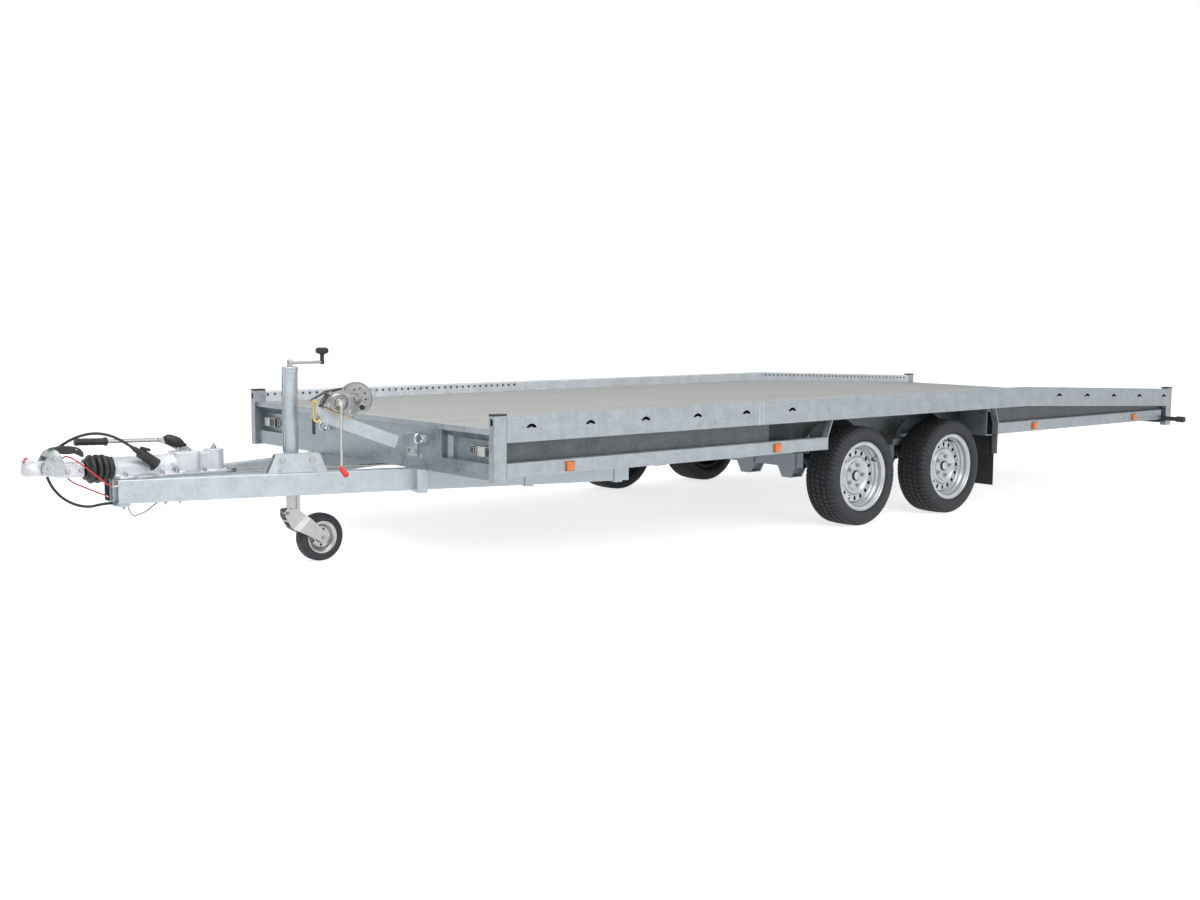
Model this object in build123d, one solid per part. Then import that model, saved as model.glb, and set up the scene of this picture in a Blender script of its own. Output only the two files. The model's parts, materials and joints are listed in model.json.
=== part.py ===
from build123d import *
from math import acos, atan2, cos, hypot, radians, sin, tan
import os

# Tandem-axle car transporter trailer with its deck above the wheels.
# Millimetres, +Z up, +Y towards the rear, +X the trailer's left side.
# Lengths along Y are first given from the front face of the front corner posts.
# The last section moves everything so that the origin is under the middle.

# Driving dimensions: load bed
bed_length = 5530.0
bed_width = 2130.0
deck_top = 630.0
deck_thick = 15.0
rear_deck_length = 1675.0
rear_drop = 67.0

# Driving dimensions: side rails, corner posts and skirts
rail_width = 40.0
rail_height = 113.0
rail_above_deck = 55.0
rail_wall = 3.0
rail_corner = 6.0
post_depth = 65.0
post_wall = 3.0
post_above_rail = 7.0
front_post_bottom = 409.0
rear_post_bottom = 383.0
lower_rail_height = 64.0
lower_rail_top = 488.0
web_thick = 3.0
front_web_end = 1700.0
front_skirt_gap = 60.0
rear_skirt_gap = 144.0
tail_skirt_gap = 130.0
end_strip_thick = 6.0
end_strip_lean = 34.0

# Driving dimensions: axles and wheels
front_axle_y = 2415.0
axle_spacing = 760.0
tyre_diameter = 525.0
tyre_width = 195.0
tyre_inset = 15.0
rim_diameter = 330.0
rim_width = 152.0
flange_height = 17.5
arm_length = 165.0
arm_rise = 75.0
axle_tube = 80.0
arch_inset = 230.0

# Driving dimensions: drawbar and coupling
beam_height = 100.0
beam_width = 60.0
beam_wall = 4.0
beam_corner = 7.0
beam_top = 415.0
beam_tip_y = -1190.0
beam_tip_x = 75.0
beam_end_y = 1040.0
beam_angle = 16.5
coupling_tip_y = -1555.0
ball_radius = 25.25
shaft_z = 460.0

# Driving dimensions: jockey wheel
jockey_x = 180.0
jockey_y = -452.0
jockey_tube_radius = 33.0
jockey_tube_top = 865.0
inner_tube_radius = 24.0
jockey_wheel_diameter = 215.0
jockey_wheel_width = 65.0
jockey_trail = 136.0

# Driving dimensions: winch
winch_arm_x = 430.0
winch_arm_z = 544.0
winch_elbow_y = -86.0
winch_arm_length = 385.0
winch_arm_plan = 15.0
winch_arm_slope = 21.0
winch_tube_width = 40.0
winch_tube_height = 56.0
drum_flange_radius = 73.0
crank_length = 285.0

# Running clearances between pieces that move against each other
shaft_clearance = 0.05
seat_gap = 0.3
side_gap = 6.0

# Sizes worked out from the ones above
half_width = bed_width / 2
rail_inner_x = half_width - rail_width
rail_top = deck_top + rail_above_deck
rail_bottom = rail_top - rail_height
kink_y = bed_length - rear_deck_length
deck_under = deck_top - deck_thick
lower_rail_bottom = lower_rail_top - lower_rail_height
slope = rear_drop / rear_deck_length
tyre_radius = tyre_diameter / 2
rim_radius = rim_diameter / 2
tyre_face_x = half_width - tyre_inset
wheel_x = tyre_face_x - tyre_width / 2
arch_x = half_width - arch_inset
rear_axle_y = front_axle_y + axle_spacing
axle_ys = (front_axle_y, rear_axle_y)
axle_tube_ys = (front_axle_y - arm_length, rear_axle_y - arm_length)
axle_tube_z = tyre_radius + arm_rise
front_skirt_end = front_axle_y - tyre_radius - front_skirt_gap
rear_skirt_start = rear_axle_y + tyre_radius + rear_skirt_gap
rear_skirt_end = bed_length - tail_skirt_gap
ON_BASE = (Align.CENTER, Align.CENTER, Align.MIN)


def drop_at(y):
    """How far the rear of the bed has dropped at y, by its slope behind the kink."""
    return max(0.0, y - kink_y) * slope


def block(x0, x1, y0, y1, z0, z1):
    """Rectangular solid between two opposite corners."""
    middle = Pos((x0 + x1) / 2, (y0 + y1) / 2, (z0 + z1) / 2)
    return middle * Box(x1 - x0, y1 - y0, z1 - z0)


def side_plate(outline, x0, x1, corner=0.0):
    """Solid with an outline of (y, z) points, from x0 to x1, its corners rounded."""
    face = Polygon(*outline, align=None)
    if corner:
        face = fillet(face.vertices(), corner)
    return Pos(x0, 0, 0) * extrude(Plane.YZ * face, amount=x1 - x0, dir=(1, 0, 0))


def plan_plate(outline, z0, z1):
    """Solid with an outline of (x, y) points, from z0 to z1."""
    face = Polygon(*outline, align=None)
    return Pos(0, 0, z0) * extrude(face, amount=z1 - z0, dir=(0, 0, 1))


def cross_plate(outline, y0, y1):
    """Solid with an outline of (x, z) points, from y0 to y1."""
    face = Plane.XZ * Polygon(*outline, align=None)
    return Pos(0, y0, 0) * extrude(face, amount=y1 - y0, dir=(0, 1, 0))


def rod(start, end, radius):
    """Round bar from one point to another."""
    start, end = Vector(*start), Vector(*end)
    along = end - start
    return Plane(origin=start, z_dir=along) * Cylinder(radius, along.length, align=ON_BASE)


def turned(outline):
    """Solid of revolution about X, from an outline of (x, radius) points."""
    return revolve(Plane.XZ * Polygon(*outline, align=None), axis=Axis.X)


def bent_bar(points, radius, bend_radii):
    """Round bar along straight runs joined by tangent arcs."""
    path = FilletPolyline(*points, radius=bend_radii)
    start = Plane(origin=path @ 0, z_dir=path % 0)
    return sweep(start * Circle(radius), path=path)


def mirrored(shape):
    """The same piece on the other side of the trailer."""
    return mirror(shape, about=Plane.YZ)


def both_sides(*shapes):
    """Each piece with its mirror image on the other side."""
    return list(shapes) + [mirrored(shape) for shape in shapes]


# Deck: two plates that meet at the kink, the rear one sloping down to the tail
panel_lip_y = 12.0
panel_face_y = 20.0
pocket_y = 60.0
panel_sheet = 3.0
panel_back_y = pocket_y + panel_sheet
tail_beam_depth = 60.0


def sloped_bar(y0, y1, z0, z1, x0, x1):
    """Bar from y0 to y1 that follows the slope of the rear deck, with upright ends."""
    lows = [(y, z0 - drop_at(y)) for y in (y0, y1)]
    highs = [(y, z1 - drop_at(y)) for y in (y1, y0)]
    return side_plate(lows + highs, x0, x1)


def rounded_bar(y0, y1, z0, z1, x0, x1, corner):
    """The same bar with round corners in its section."""
    section = RectangleRounded(x1 - x0, z1 - z0, corner)
    place = Plane(origin=((x0 + x1) / 2, y0, (z0 + z1) / 2 - drop_at(y0)),
                  x_dir=(1, 0, 0), z_dir=(0, -1, 0))
    fall = drop_at(y1) - drop_at(y0)
    return extrude(place * section, amount=hypot(y1 - y0, fall), dir=(0, y1 - y0, -fall))


def deck_front():
    return block(-rail_inner_x, rail_inner_x, panel_back_y, kink_y, deck_under, deck_top)


def deck_rear():
    tail = bed_length - tail_beam_depth
    return sloped_bar(kink_y, tail, deck_under, deck_top, -rail_inner_x, rail_inner_x)


# Upper side rails: hollow sections with a row of round holes in the inner wall
# and crescent lashing slots in the outer wall, sloping behind the kink
hole_radius = 7.5
hole_pitch = 41.5
hole_height = 36.0
hole_margin = 77.0
kink_hole_margin = 22.0
front_hole_end = 1736.0
slot_radius = 32.0
slot_band = 14.0
slot_height = 20.0
front_slot_start = 195.0
front_slot_pitch = 326.0
rear_slot_margin = 102.0
rear_slot_pitch = 308.0
front_slot_ys = [front_slot_start + i * front_slot_pitch for i in range(6)]
rear_slot_ys = [bed_length - rear_slot_margin - i * rear_slot_pitch for i in range(5)]


def crescent(y):
    """Cutter for a lashing slot at y: the upper part of a ring, through the outer wall."""
    z = deck_top + slot_height - drop_at(y) - slot_radius
    x0, x1 = half_width - 2 * rail_wall, half_width + rail_wall
    ring = rod((x0, y, z), (x1, y, z), slot_radius)
    ring -= rod((x0, y, z), (x1, y, z), slot_radius - slot_band)
    upper = block(x0, x1, y - slot_radius, y + slot_radius, z + slot_band, z + slot_radius)
    return ring & upper


def side_rail(y0, y1, hole_y0, hole_y1, slot_ys):
    """Hollow rail from y0 to y1, with both ends cut upright."""
    t = rail_wall
    rail = rounded_bar(y0, y1, rail_bottom, rail_top, rail_inner_x, half_width, rail_corner)
    rail -= rounded_bar(y0, y1, rail_bottom + t, rail_top - t, rail_inner_x + t,
                        half_width - t, rail_corner - t)
    cutters = [crescent(y) for y in slot_ys]
    for i in range(int((hole_y1 - hole_y0) / hole_pitch) + 1):
        y = hole_y0 + i * hole_pitch
        z = deck_top + hole_height - drop_at(y)
        cutters.append(rod((rail_inner_x - t, y, z), (rail_inner_x + 2 * t, y, z),
                           hole_radius))
    return rail.cut(*cutters)


# Lower rails: they carry the side markers, and end in a folded strip by the wheels
def lower_rail(y0, y1, strip_y, lean):
    """Hollow rail from y0 to y1, with a strip at strip_y that leans to the upper rail."""
    wall = rail_wall
    rail = block(rail_inner_x, half_width, y0, y1, lower_rail_bottom, lower_rail_top)
    rail = fillet(rail.edges().filter_by(Axis.Y), rail_corner)
    rail -= block(rail_inner_x + wall, half_width - wall, y0, y1,
                  lower_rail_bottom + wall, lower_rail_top - wall)
    t = end_strip_thick if lean > 0 else -end_strip_thick
    outline = [
        (strip_y, lower_rail_bottom),
        (strip_y + t, lower_rail_bottom),
        (strip_y + t, lower_rail_top),
        (strip_y + t + lean, rail_bottom),
        (strip_y + lean, rail_bottom),
        (strip_y, lower_rail_top),
    ]
    return rail + side_plate(outline, rail_inner_x, half_width)


def lower_rails():
    front = lower_rail(post_depth, front_skirt_end, front_skirt_end, end_strip_lean)
    rear = lower_rail(rear_skirt_start, rear_skirt_end, rear_skirt_start, -end_strip_lean)
    return both_sides(front, rear)


# Side webs: the dark recessed sheets behind the rails
def side_web():
    x0, x1 = rail_inner_x - web_thick, rail_inner_x
    tail = bed_length - tail_beam_depth
    outline = [
        (post_depth, lower_rail_bottom),
        (front_web_end, lower_rail_bottom),
        (front_web_end, rail_bottom),
        (rear_skirt_start, rail_bottom),
        (rear_skirt_start, lower_rail_bottom),
        (tail, lower_rail_bottom),
        (tail, deck_under - drop_at(tail)),
        (kink_y, deck_under),
        (post_depth, deck_under),
    ]
    return side_plate(outline, x0, x1)


# Inner wheel arches: upright sheets inside the wheels, with an arc over each tyre
arch_sheet = 3.0
arch_bottom = 385.0
arch_gap = 34.0


def wheel_arch():
    x0, x1 = arch_x - arch_sheet, arch_x
    end = deep_ys[5] - member_width / 2
    sheet = block(x0, x1, front_skirt_end, end, arch_bottom, deck_under)
    for y in axle_ys:
        sheet -= rod((x0 - arch_sheet, y, tyre_radius), (x1 + arch_sheet, y, tyre_radius),
                     tyre_radius + arch_gap)
    return max(sheet.solids(), key=lambda solid: solid.volume)


# Corner posts: hollow uprights, with an oblong lashing slot in the front ones
post_slot_width = 16.0
post_slot_height = 32.0
post_slot_drop = 31.0


def post(y0, bottom, top):
    y1 = y0 + post_depth
    outer = block(rail_inner_x, half_width, y0, y1, bottom, top)
    outer = fillet(outer.edges().filter_by(Axis.Z), post_wall)
    t = post_wall
    return outer - block(rail_inner_x + t, half_width - t, y0 + t, y1 - t, bottom, top)


def post_slot(y0, top):
    """Cutter for the upright oblong slot in the front wall of a post."""
    x = (rail_inner_x + half_width) / 2
    z = top - post_slot_drop
    r = post_slot_width / 2
    half = post_slot_height / 2 - r
    ends = [rod((x, y0 - post_wall, z + way * half), (x, y0 + 2 * post_wall, z + way * half), r)
            for way in (-1, 1)]
    return ends[0] + ends[1] + block(x - r, x + r, y0 - post_wall, y0 + 2 * post_wall,
                                     z - half, z + half)


def corner_posts():
    tail = bed_length - post_depth
    top = rail_top + post_above_rail
    front = post(0.0, front_post_bottom, top) - post_slot(0.0, top)
    rear = post(tail, rear_post_bottom, rail_top - drop_at(tail) + post_above_rail)
    return both_sides(front, rear)


# Front panel: a top lip over a flush face, with a folded pocket at each end
panel_lip = 24.0
panel_bottom = beam_top
pocket_ledge = 483.0
pocket_length = 365.0
pocket_fold = 26.0
ceiling_drop = 32.0
hatch_length = 55.0
hatch_margin = 40.0


def pocket():
    """Cutter for the left pocket: a slanted ceiling and a folded inner end."""
    x0, x1 = rail_inner_x - pocket_length, rail_inner_x
    lip_bottom = deck_top - panel_lip
    ledge = [
        (panel_lip_y, pocket_ledge), (pocket_y, pocket_ledge),
        (pocket_y, lip_bottom - ceiling_drop), (panel_face_y, lip_bottom),
        (panel_lip_y, lip_bottom),
    ]
    plan = [
        (x0, panel_lip_y), (x1, panel_lip_y), (x1, pocket_y), (x0 + pocket_fold, pocket_y),
        (x0, pocket_y - pocket_fold / 2),
    ]
    hatch_end = rail_inner_x - hatch_margin
    hatch_y = pocket_y - ceiling_drop / 2
    hatch = block(hatch_end - hatch_length, hatch_end, hatch_y, hatch_y + ceiling_drop / 3,
                  pocket_ledge + ceiling_drop, deck_under - 2 * panel_sheet)
    return side_plate(ledge, x0, x1) & plan_plate(plan, pocket_ledge, lip_bottom) + hatch


def front_panel():
    x = rail_inner_x
    t = panel_sheet
    lip_bottom = deck_top - panel_lip
    body = block(-x, x, panel_lip_y, panel_back_y, panel_bottom, deck_top)
    body -= block(-x, x, panel_lip_y, panel_face_y, panel_bottom, lip_bottom)
    inner = x - pocket_length - 2 * t
    body -= block(-inner, inner, panel_face_y + t, panel_back_y, panel_bottom + t,
                  deck_top - t)
    for cut in both_sides(pocket()):
        body -= cut
    return body


# Front lamps: a clear lens with a dark lens beside it, on the back of each pocket
lamp_width = 106.0
lamp_depth = 22.0
lamp_height = 46.0
lamp_margin_x = 30.0
lamp_rise = 46.0


def front_lamps():
    x1 = rail_inner_x - lamp_margin_x
    z = pocket_ledge + lamp_rise
    lamp = block(x1 - lamp_width, x1, pocket_y - lamp_depth, pocket_y,
                 z - lamp_height / 2, z + lamp_height / 2)
    return both_sides(lamp)


# Lashing eyes: a forged ring with a collar and a stud through the panel
eye_xs = (520.0, -305.0)
eye_z = 556.0
eye_radius = 20.0
eye_wire = 5.0
eye_neck = 9.0


def lashing_eyes():
    eyes = []
    y = panel_face_y - eye_radius - eye_neck
    for x in eye_xs:
        ring = Plane(origin=(x, y, eye_z), z_dir=(1, 0, 0)) * Torus(eye_radius, eye_wire)
        neck = rod((x, y + eye_radius, eye_z), (x, panel_face_y, eye_z), eye_wire)
        collar = rod((x, panel_face_y - eye_wire / 2, eye_z), (x, panel_face_y, eye_z),
                     2.4 * eye_wire)
        eyes.append(ring + neck + collar)
    return eyes


# Tail beam: closes the bed at the rear, with a lamp box at each end
tail_lip = 48.0
lamp_box_width = 250.0
lamp_box_height = 120.0
tail_wall = 4.0
rear_lamp_width = 220.0
rear_lamp_height = 90.0
rear_lamp_depth = 40.0
lamp_margin = 15.0


def rear_lamp(depth):
    """Left rear lamp body, reaching depth in from the rear face of the tail beam."""
    top = deck_top - drop_at(bed_length - tail_beam_depth) - tail_lip
    x1 = rail_inner_x - lamp_margin
    return block(x1 - rear_lamp_width, x1, bed_length - depth, bed_length,
                 top - lamp_margin - rear_lamp_height, top - lamp_margin)


def tail_beam():
    y0, y1 = bed_length - tail_beam_depth, bed_length
    top = deck_top - drop_at(y0)
    x = rail_inner_x
    t = tail_wall
    beam = block(-x, x, y0, y1, top - tail_lip, top)
    beam -= block(-x + t, x - t, y0, y1 - t, top - tail_lip + t, top - t)
    low = top - tail_lip - lamp_box_height
    for side in (-1, 1):
        x0, x1 = sorted((side * x, side * (x - lamp_box_width)))
        lamp_box = block(x0, x1, y0, y1, low, top - tail_lip)
        lamp_box -= block(x0 + t, x1 - t, y0, y1 - t, low + t, top - tail_lip)
        beam += lamp_box
    for window in both_sides(rear_lamp(rear_lamp_depth)):
        beam -= window
    return beam


# Cross members: channels under the deck, deep in front and shallow over the ramps
deep_member = deck_under - beam_top
shallow_member = 60.0
member_width = 60.0
member_wall = 4.0
clamp_ys = (0.0, 550.0, 985.0)
deep_ys = clamp_ys[1:] + (1500.0,) + axle_tube_ys + (rear_axle_y + 380.0,)
shallow_ys = (kink_y + 195.0, kink_y + 695.0, kink_y + 1195.0)


def channel(y, depth, half_span):
    """Channel open to the rear, hung under the deck across the bed."""
    y0, y1 = y - member_width / 2, y + member_width / 2
    t = member_wall

    def outline(front, below, above):
        lows = [(v, deck_under - drop_at(v) - depth + below) for v in (front, y1)]
        highs = [(v, deck_under - drop_at(v) - above) for v in (y1, front)]
        return lows + highs

    shape = side_plate(outline(y0, 0.0, 0.0), -half_span, half_span)
    return shape - side_plate(outline(y0 + t, t, t), -half_span, half_span)


def cross_members():
    edge = rail_inner_x - web_thick
    shapes = []
    for y in deep_ys:
        by_wheels = front_skirt_end - member_width < y < rear_axle_y + tyre_radius
        shapes.append(channel(y, deep_member, arch_x - arch_sheet if by_wheels else edge))
    for y in shallow_ys:
        shapes.append(channel(y, shallow_member, edge))
    return shapes


# Ramps: two aluminium loading ramps, stowed in the space under the rear deck,
# each with a row of rung slots through its top
ramp_length = 1350.0
ramp_width = 330.0
ramp_thick = 60.0
ramp_inner_x = 260.0
ramp_wall = 5.0
ramp_tail_gap = 5.0
rung_pitch = 90.0
rung_gap = 34.0
ramp_y1 = bed_length - ramp_tail_gap
ramp_y0 = ramp_y1 - ramp_length


def ramps():
    top = deck_under - shallow_member
    t = ramp_wall
    x0, x1 = ramp_inner_x, ramp_inner_x + ramp_width
    ramp = sloped_bar(ramp_y0, ramp_y1, top - ramp_thick, top, x0, x1)
    ramp -= sloped_bar(ramp_y0 + t, ramp_y1 - t, top - ramp_thick - t, top - t,
                       x0 + t, x1 - t)
    y = ramp_y0 + rung_pitch
    while y + rung_pitch < ramp_y1:
        ramp -= sloped_bar(y, y + rung_gap, top - 2 * t, top + t, x0 + 6 * t, x1 - 6 * t)
        y += rung_pitch
    return both_sides(ramp)


# Ramp guides: folded rails under both edges of each ramp, hung from the cross members
guide_sheet = 3.0
guide_lip = 35.0
guide_side_gap = 1.0
guide_front_gap = 60.0


def ramp_guides():
    y0, y1 = ramp_y0 + guide_front_gap, bed_length - tail_beam_depth
    top = deck_under - shallow_member
    low = top - ramp_thick - seat_gap
    rails = []
    for edge, way in ((ramp_inner_x, -1), (ramp_inner_x + ramp_width, 1)):
        inner = edge + way * guide_side_gap
        outer = inner + way * guide_sheet
        rail = sloped_bar(y0, y1, low - guide_sheet, top, *sorted((inner, outer)))
        rail += sloped_bar(y0, y1, low - guide_sheet, low,
                           *sorted((edge - way * guide_lip, outer)))
        rails.append(rail)
    return both_sides(*rails)


# Mudflaps behind the rear wheels, each on a bracket strip
mudflap_wheel_gap = 162.5
mudflap_thick = 5.0
mudflap_top = 545.0
mudflap_bottom = 125.0
mudflap_margin = 5.0
strip_height = 30.0
strip_depth = 25.0
mudflap_y = rear_axle_y + tyre_radius + mudflap_wheel_gap


def mudflaps():
    x1 = rail_inner_x - web_thick
    back = mudflap_y + mudflap_thick
    flap = block(tyre_face_x - tyre_width + mudflap_margin, x1, mudflap_y, back,
                 mudflap_bottom, mudflap_top)
    holder = block(arch_x, x1, back, back + strip_depth, mudflap_top - strip_height,
                   mudflap_top)
    return both_sides(flap + holder)


# Side markers: four amber lamps on the lower rails of each side
marker_ys = (405.0, 1720.0, rear_skirt_start + 360.0, rear_skirt_end - 340.0)
marker_length = 44.0
marker_height = 40.0
marker_depth = 12.0
marker_corner = 5.0


def side_markers():
    z = (lower_rail_top + lower_rail_bottom) / 2
    lamps = []
    for y in marker_ys:
        lamp = block(half_width, half_width + marker_depth, y - marker_length / 2,
                     y + marker_length / 2, z - marker_height / 2, z + marker_height / 2)
        lamp = fillet(lamp.edges().filter_by(Axis.X), marker_corner)
        lamps += both_sides(lamp)
    return lamps


# Outline lamps: rubber arms with a lens at the end, at both rear corners
outline_reach = 146.0
outline_z = 430.0
outline_arm = 14.0
outline_head = 19.0
outline_head_length = 50.0
outline_foot = (30.0, 12.0, 44.0)


def outline_lamps():
    y = rear_skirt_end + 2 * outline_arm
    inset, proud, height = outline_foot
    foot = block(half_width - inset, half_width + proud, rear_skirt_end, y + outline_arm,
                 outline_z - height / 2, outline_z + height / 2)
    tip = half_width + outline_reach
    neck = tip - outline_head_length
    arm = rod((half_width, y, outline_z), (neck + 1.0, y, outline_z), outline_arm)
    head = rod((neck, y, outline_z), (tip, y, outline_z), outline_head)
    return both_sides(foot + arm + head)


# Drawbar: two box beams that meet at the coupling, with clamps to the bed
def beam_frame(base_z):
    """Frame at the outer front edge of the left beam at base_z, with x along it."""
    a = radians(beam_angle)
    return Plane(origin=(beam_tip_x, beam_tip_y, base_z), x_dir=(sin(a), cos(a), 0),
                 z_dir=(0, 0, 1))


def along_beam(y):
    """Distance along the beam's outer face at which it reaches y."""
    return (y - beam_tip_y) / cos(radians(beam_angle))


beam_gap = 12.0


def drawbar_beam():
    frame = beam_frame(beam_top - beam_height)
    length = along_beam(beam_end_y)
    t = beam_wall
    outer = block(-beam_width, length, 0, beam_width, 0, beam_height)
    outer = fillet(outer.edges().filter_by(Axis.X), beam_corner)
    bore = block(-beam_width, length, t, beam_width - t, t, beam_height - t)
    keep = block(beam_gap, bed_width, beam_tip_y, beam_end_y + beam_width, 0, deck_top)
    return frame * (outer - bore) & keep


clamp_length = 40.0
clamp_thick = 6.0
shoe_width = 58.0
shoe_length = 46.0


def drawbar_clamps():
    frame = beam_frame(beam_top - beam_height)
    t = clamp_thick
    shapes = []
    for y in clamp_ys[1:]:
        s = along_beam(y) - clamp_length / 2
        strap = block(s, s + clamp_length, -t, beam_width + t, -t, beam_height)
        strap -= block(s, s + clamp_length, 0, beam_width, 0, beam_height)
        shapes.append(frame * strap)
    s = along_beam(clamp_ys[0] + panel_face_y)
    shoe = block(s, s + shoe_length, -shoe_width, 0, -t, beam_height)
    shoe -= block(s + t, s + shoe_length, -shoe_width + t, 0, 0, beam_height - t)
    shoe += block(s, s + shoe_length, 0, beam_width + t, -t, 0)
    shoe += block(s, s + shoe_length, beam_width, beam_width + t, -t, beam_height)
    shapes.append(frame * shoe)
    return both_sides(*shapes)


# Coupling: the cast overrun housing on the drawbar, on a base plate with its bolts
base_plate = 12.0
base_half_width = 66.0
housing_rear_y = -660.0
housing_tube_end = -905.0
housing_radius = 45.0
bellows_front_y = -1300.0
tower_half_width = 52.0
tower_front_y = -925.0
tower_rear_y = -810.0
tower_top = 510.0
boss_y = -730.0
boss_radius = 44.0
boss_top = 514.0
bolt_radius = 9.0
bolt_height = 9.0
base_bolt_ys = (-1150.0, -990.0, -930.0)


def coupling_housing():
    base_top = beam_top + base_plate
    base = block(-base_half_width, base_half_width, beam_tip_y + base_plate,
                 housing_tube_end + 2 * base_plate, beam_top, base_top)
    tail = block(-boss_radius, boss_radius, housing_tube_end, housing_rear_y, beam_top,
                 base_top - base_plate / 3)
    tube = rod((0, beam_tip_y, shaft_z), (0, housing_tube_end, shaft_z), housing_radius)
    saddle = block(-housing_radius, housing_radius, beam_tip_y + base_plate,
                   housing_tube_end, beam_top, shaft_z)
    tower = block(-tower_half_width, tower_half_width, tower_front_y, tower_rear_y,
                  base_top, tower_top)
    tower = fillet(tower.edges().filter_by(Axis.Z), base_plate)
    neck = block(-boss_radius / 1.5, boss_radius / 1.5, tower_rear_y - base_plate, boss_y,
                 base_top, tower_top - base_plate)
    boss = rod((0, boss_y, base_top - base_plate / 2), (0, boss_y, boss_top), boss_radius)
    shape = base + tail + tube + saddle + tower + neck + boss
    for y in base_bolt_ys:
        for side in (-1, 1):
            x = side * (base_half_width - bolt_radius - 2.0)
            shape += rod((x, y, base_top - 1.0), (x, y, base_top + bolt_height), bolt_radius)
    return shape


# Bellows: four rubber folds between the housing and the drawbar shaft
bellows_folds = 4
bellows_radius = 60.0
bellows_root = 40.0
bellows_taper = 4.0
bellows_seat = 31.0


def bellows():
    y0, y1 = bellows_front_y, beam_tip_y
    pitch = (y1 - y0) / bellows_folds
    outline = [(bellows_seat + seat_gap, y0), (bellows_root, y0)]
    for i in range(bellows_folds):
        y = y0 + i * pitch
        crest = bellows_radius - i * bellows_taper
        outline += [(crest - 6.0, y + 0.22 * pitch), (crest, y + 0.4 * pitch),
                    (crest, y + 0.6 * pitch), (crest - 6.0, y + 0.78 * pitch),
                    (bellows_root, y + pitch)]
    outline += [(bellows_seat + seat_gap, y1)]
    shape = revolve(Polygon(*outline, align=None), axis=Axis.Y)
    return Pos(0, 0, shaft_z) * shape


# Coupling head: cast cup for the towing ball, two cheeks and the drawbar shaft
cup_y = -1513.0
cup_bottom = 448.0
cup_depth = 22.0
cup_radius = 42.0
cheek_half_width = 36.0
shaft_bolt_radius = 10.0


def coupling_head():
    ball_z = cup_bottom + cup_depth
    cup = Pos(0, cup_y, ball_z) * Sphere(cup_radius)
    cup += rod((0, cup_y, cup_bottom), (0, cup_y, ball_z), cup_radius)
    flat = block(-cup_radius, cup_radius, coupling_tip_y, cup_y + cup_radius,
                 cup_bottom, ball_z + cup_radius)
    cup &= flat
    lip_y = coupling_tip_y + 26.0
    lip = side_plate([
        (coupling_tip_y, cup_bottom + 8.0), (coupling_tip_y + 6.0, cup_bottom),
        (cup_y, cup_bottom), (cup_y, cup_bottom + 55.0), (lip_y + 6.0, cup_bottom + 60.0),
        (lip_y, cup_bottom + 74.0), (coupling_tip_y + 8.0, cup_bottom + 70.0),
    ], -cup_radius * 0.62, cup_radius * 0.62, 3.0)
    cheeks = side_plate([
        (cup_y + 10.0, cup_bottom), (-1318.0, 434.0), (-1318.0, 480.0), (-1392.0, 502.0),
        (-1432.0, 551.0), (-1446.0, 545.0), (-1478.0, 505.0), (cup_y + 10.0, 503.0),
    ], -cheek_half_width, cheek_half_width, 5.0)
    shaft = rod((0, cup_y + cup_radius, shaft_z), (0, beam_tip_y, shaft_z), bellows_seat)
    head = cup + lip + cheeks + shaft
    head -= rod((0, cup_y, cup_bottom - cup_radius), (0, cup_y, ball_z), ball_radius)
    head -= Pos(0, cup_y, ball_z) * Sphere(ball_radius)
    for y, z, x in ((-1430.0, 480.0, cheek_half_width), (-1360.0, 462.0, cheek_half_width)):
        head += rod((-x - 6.0, y, z), (x + 6.0, y, z), shaft_bolt_radius)
    return head


# Coupling handle: moulded grip over the cheeks, with a hooked end
def coupling_handle():
    return side_plate([
        (-1446.0, 545.5), (-1432.0, 551.5), (-1420.0, 536.5), (-1400.0, 528.0),
        (-1332.0, 526.0), (-1320.0, 514.0), (-1307.0, 513.0), (-1312.0, 540.0),
        (-1332.0, 553.0), (-1410.0, 558.0), (-1432.0, 560.0), (-1450.0, 552.0),
    ], -15.0, 15.0, 2.5)


# Handbrake lever: flat bar from the base plate, round lever with a moulded grip,
# and the moulded cover of its spring
lever_x = -66.0
lever_pivot_y = -820.0
lever_pivot_z = 472.0
lever_bend_y = -948.0
lever_bend_z = 557.0
grip_start_y = -1178.0
grip_end_y = -1314.0
lever_radius = 10.0
grip_radius = 15.0
lever_bar = (11.0, 24.0)
spring_cover = 17.0


def handbrake_lever():
    bend = (lever_x, lever_bend_y, lever_bend_z)
    tip = (lever_x, grip_end_y, lever_bend_z + 12.0)
    seat = (lever_x, grip_start_y, lever_bend_z + 7.0)
    lever = rod(bend, seat, lever_radius) + rod(seat, tip, grip_radius)
    thick, deep = lever_bar
    bar = side_plate([
        (lever_pivot_y, lever_pivot_z), (lever_pivot_y + deep, lever_pivot_z + deep),
        (lever_pivot_y, lever_pivot_z + 2.2 * deep), (lever_bend_y, lever_bend_z + deep / 2),
        (lever_bend_y - deep / 2, lever_bend_z),
        (lever_bend_y, lever_bend_z - deep / 2), (lever_pivot_y - deep, lever_pivot_z + deep),
    ], lever_x - thick / 2, lever_x + thick / 2, 2.0)
    foot = block(lever_x - thick, -tower_half_width, lever_pivot_y - deep,
                 lever_pivot_y + deep, beam_top, lever_pivot_z + deep)
    cover = rod((lever_x, lever_bend_y + 40.0, lever_bend_z + 3.0),
                (lever_x, lever_pivot_y - 14.0, lever_bend_z - 27.0), spring_cover)
    return lever + bar + foot + cover


# Jockey wheel: clamp on the beam, outer tube, crank, sliding fork and wheel
clamp_y = -476.0
clamp_plate = 5.0
clamp_foot = 260.0
clamp_head = 190.0
clamp_height = 82.0
clamp_offset = 4.0
collar_wall = 8.0
collar_below = 60.0
collar_above = 72.0
web_half = 12.0


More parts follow.
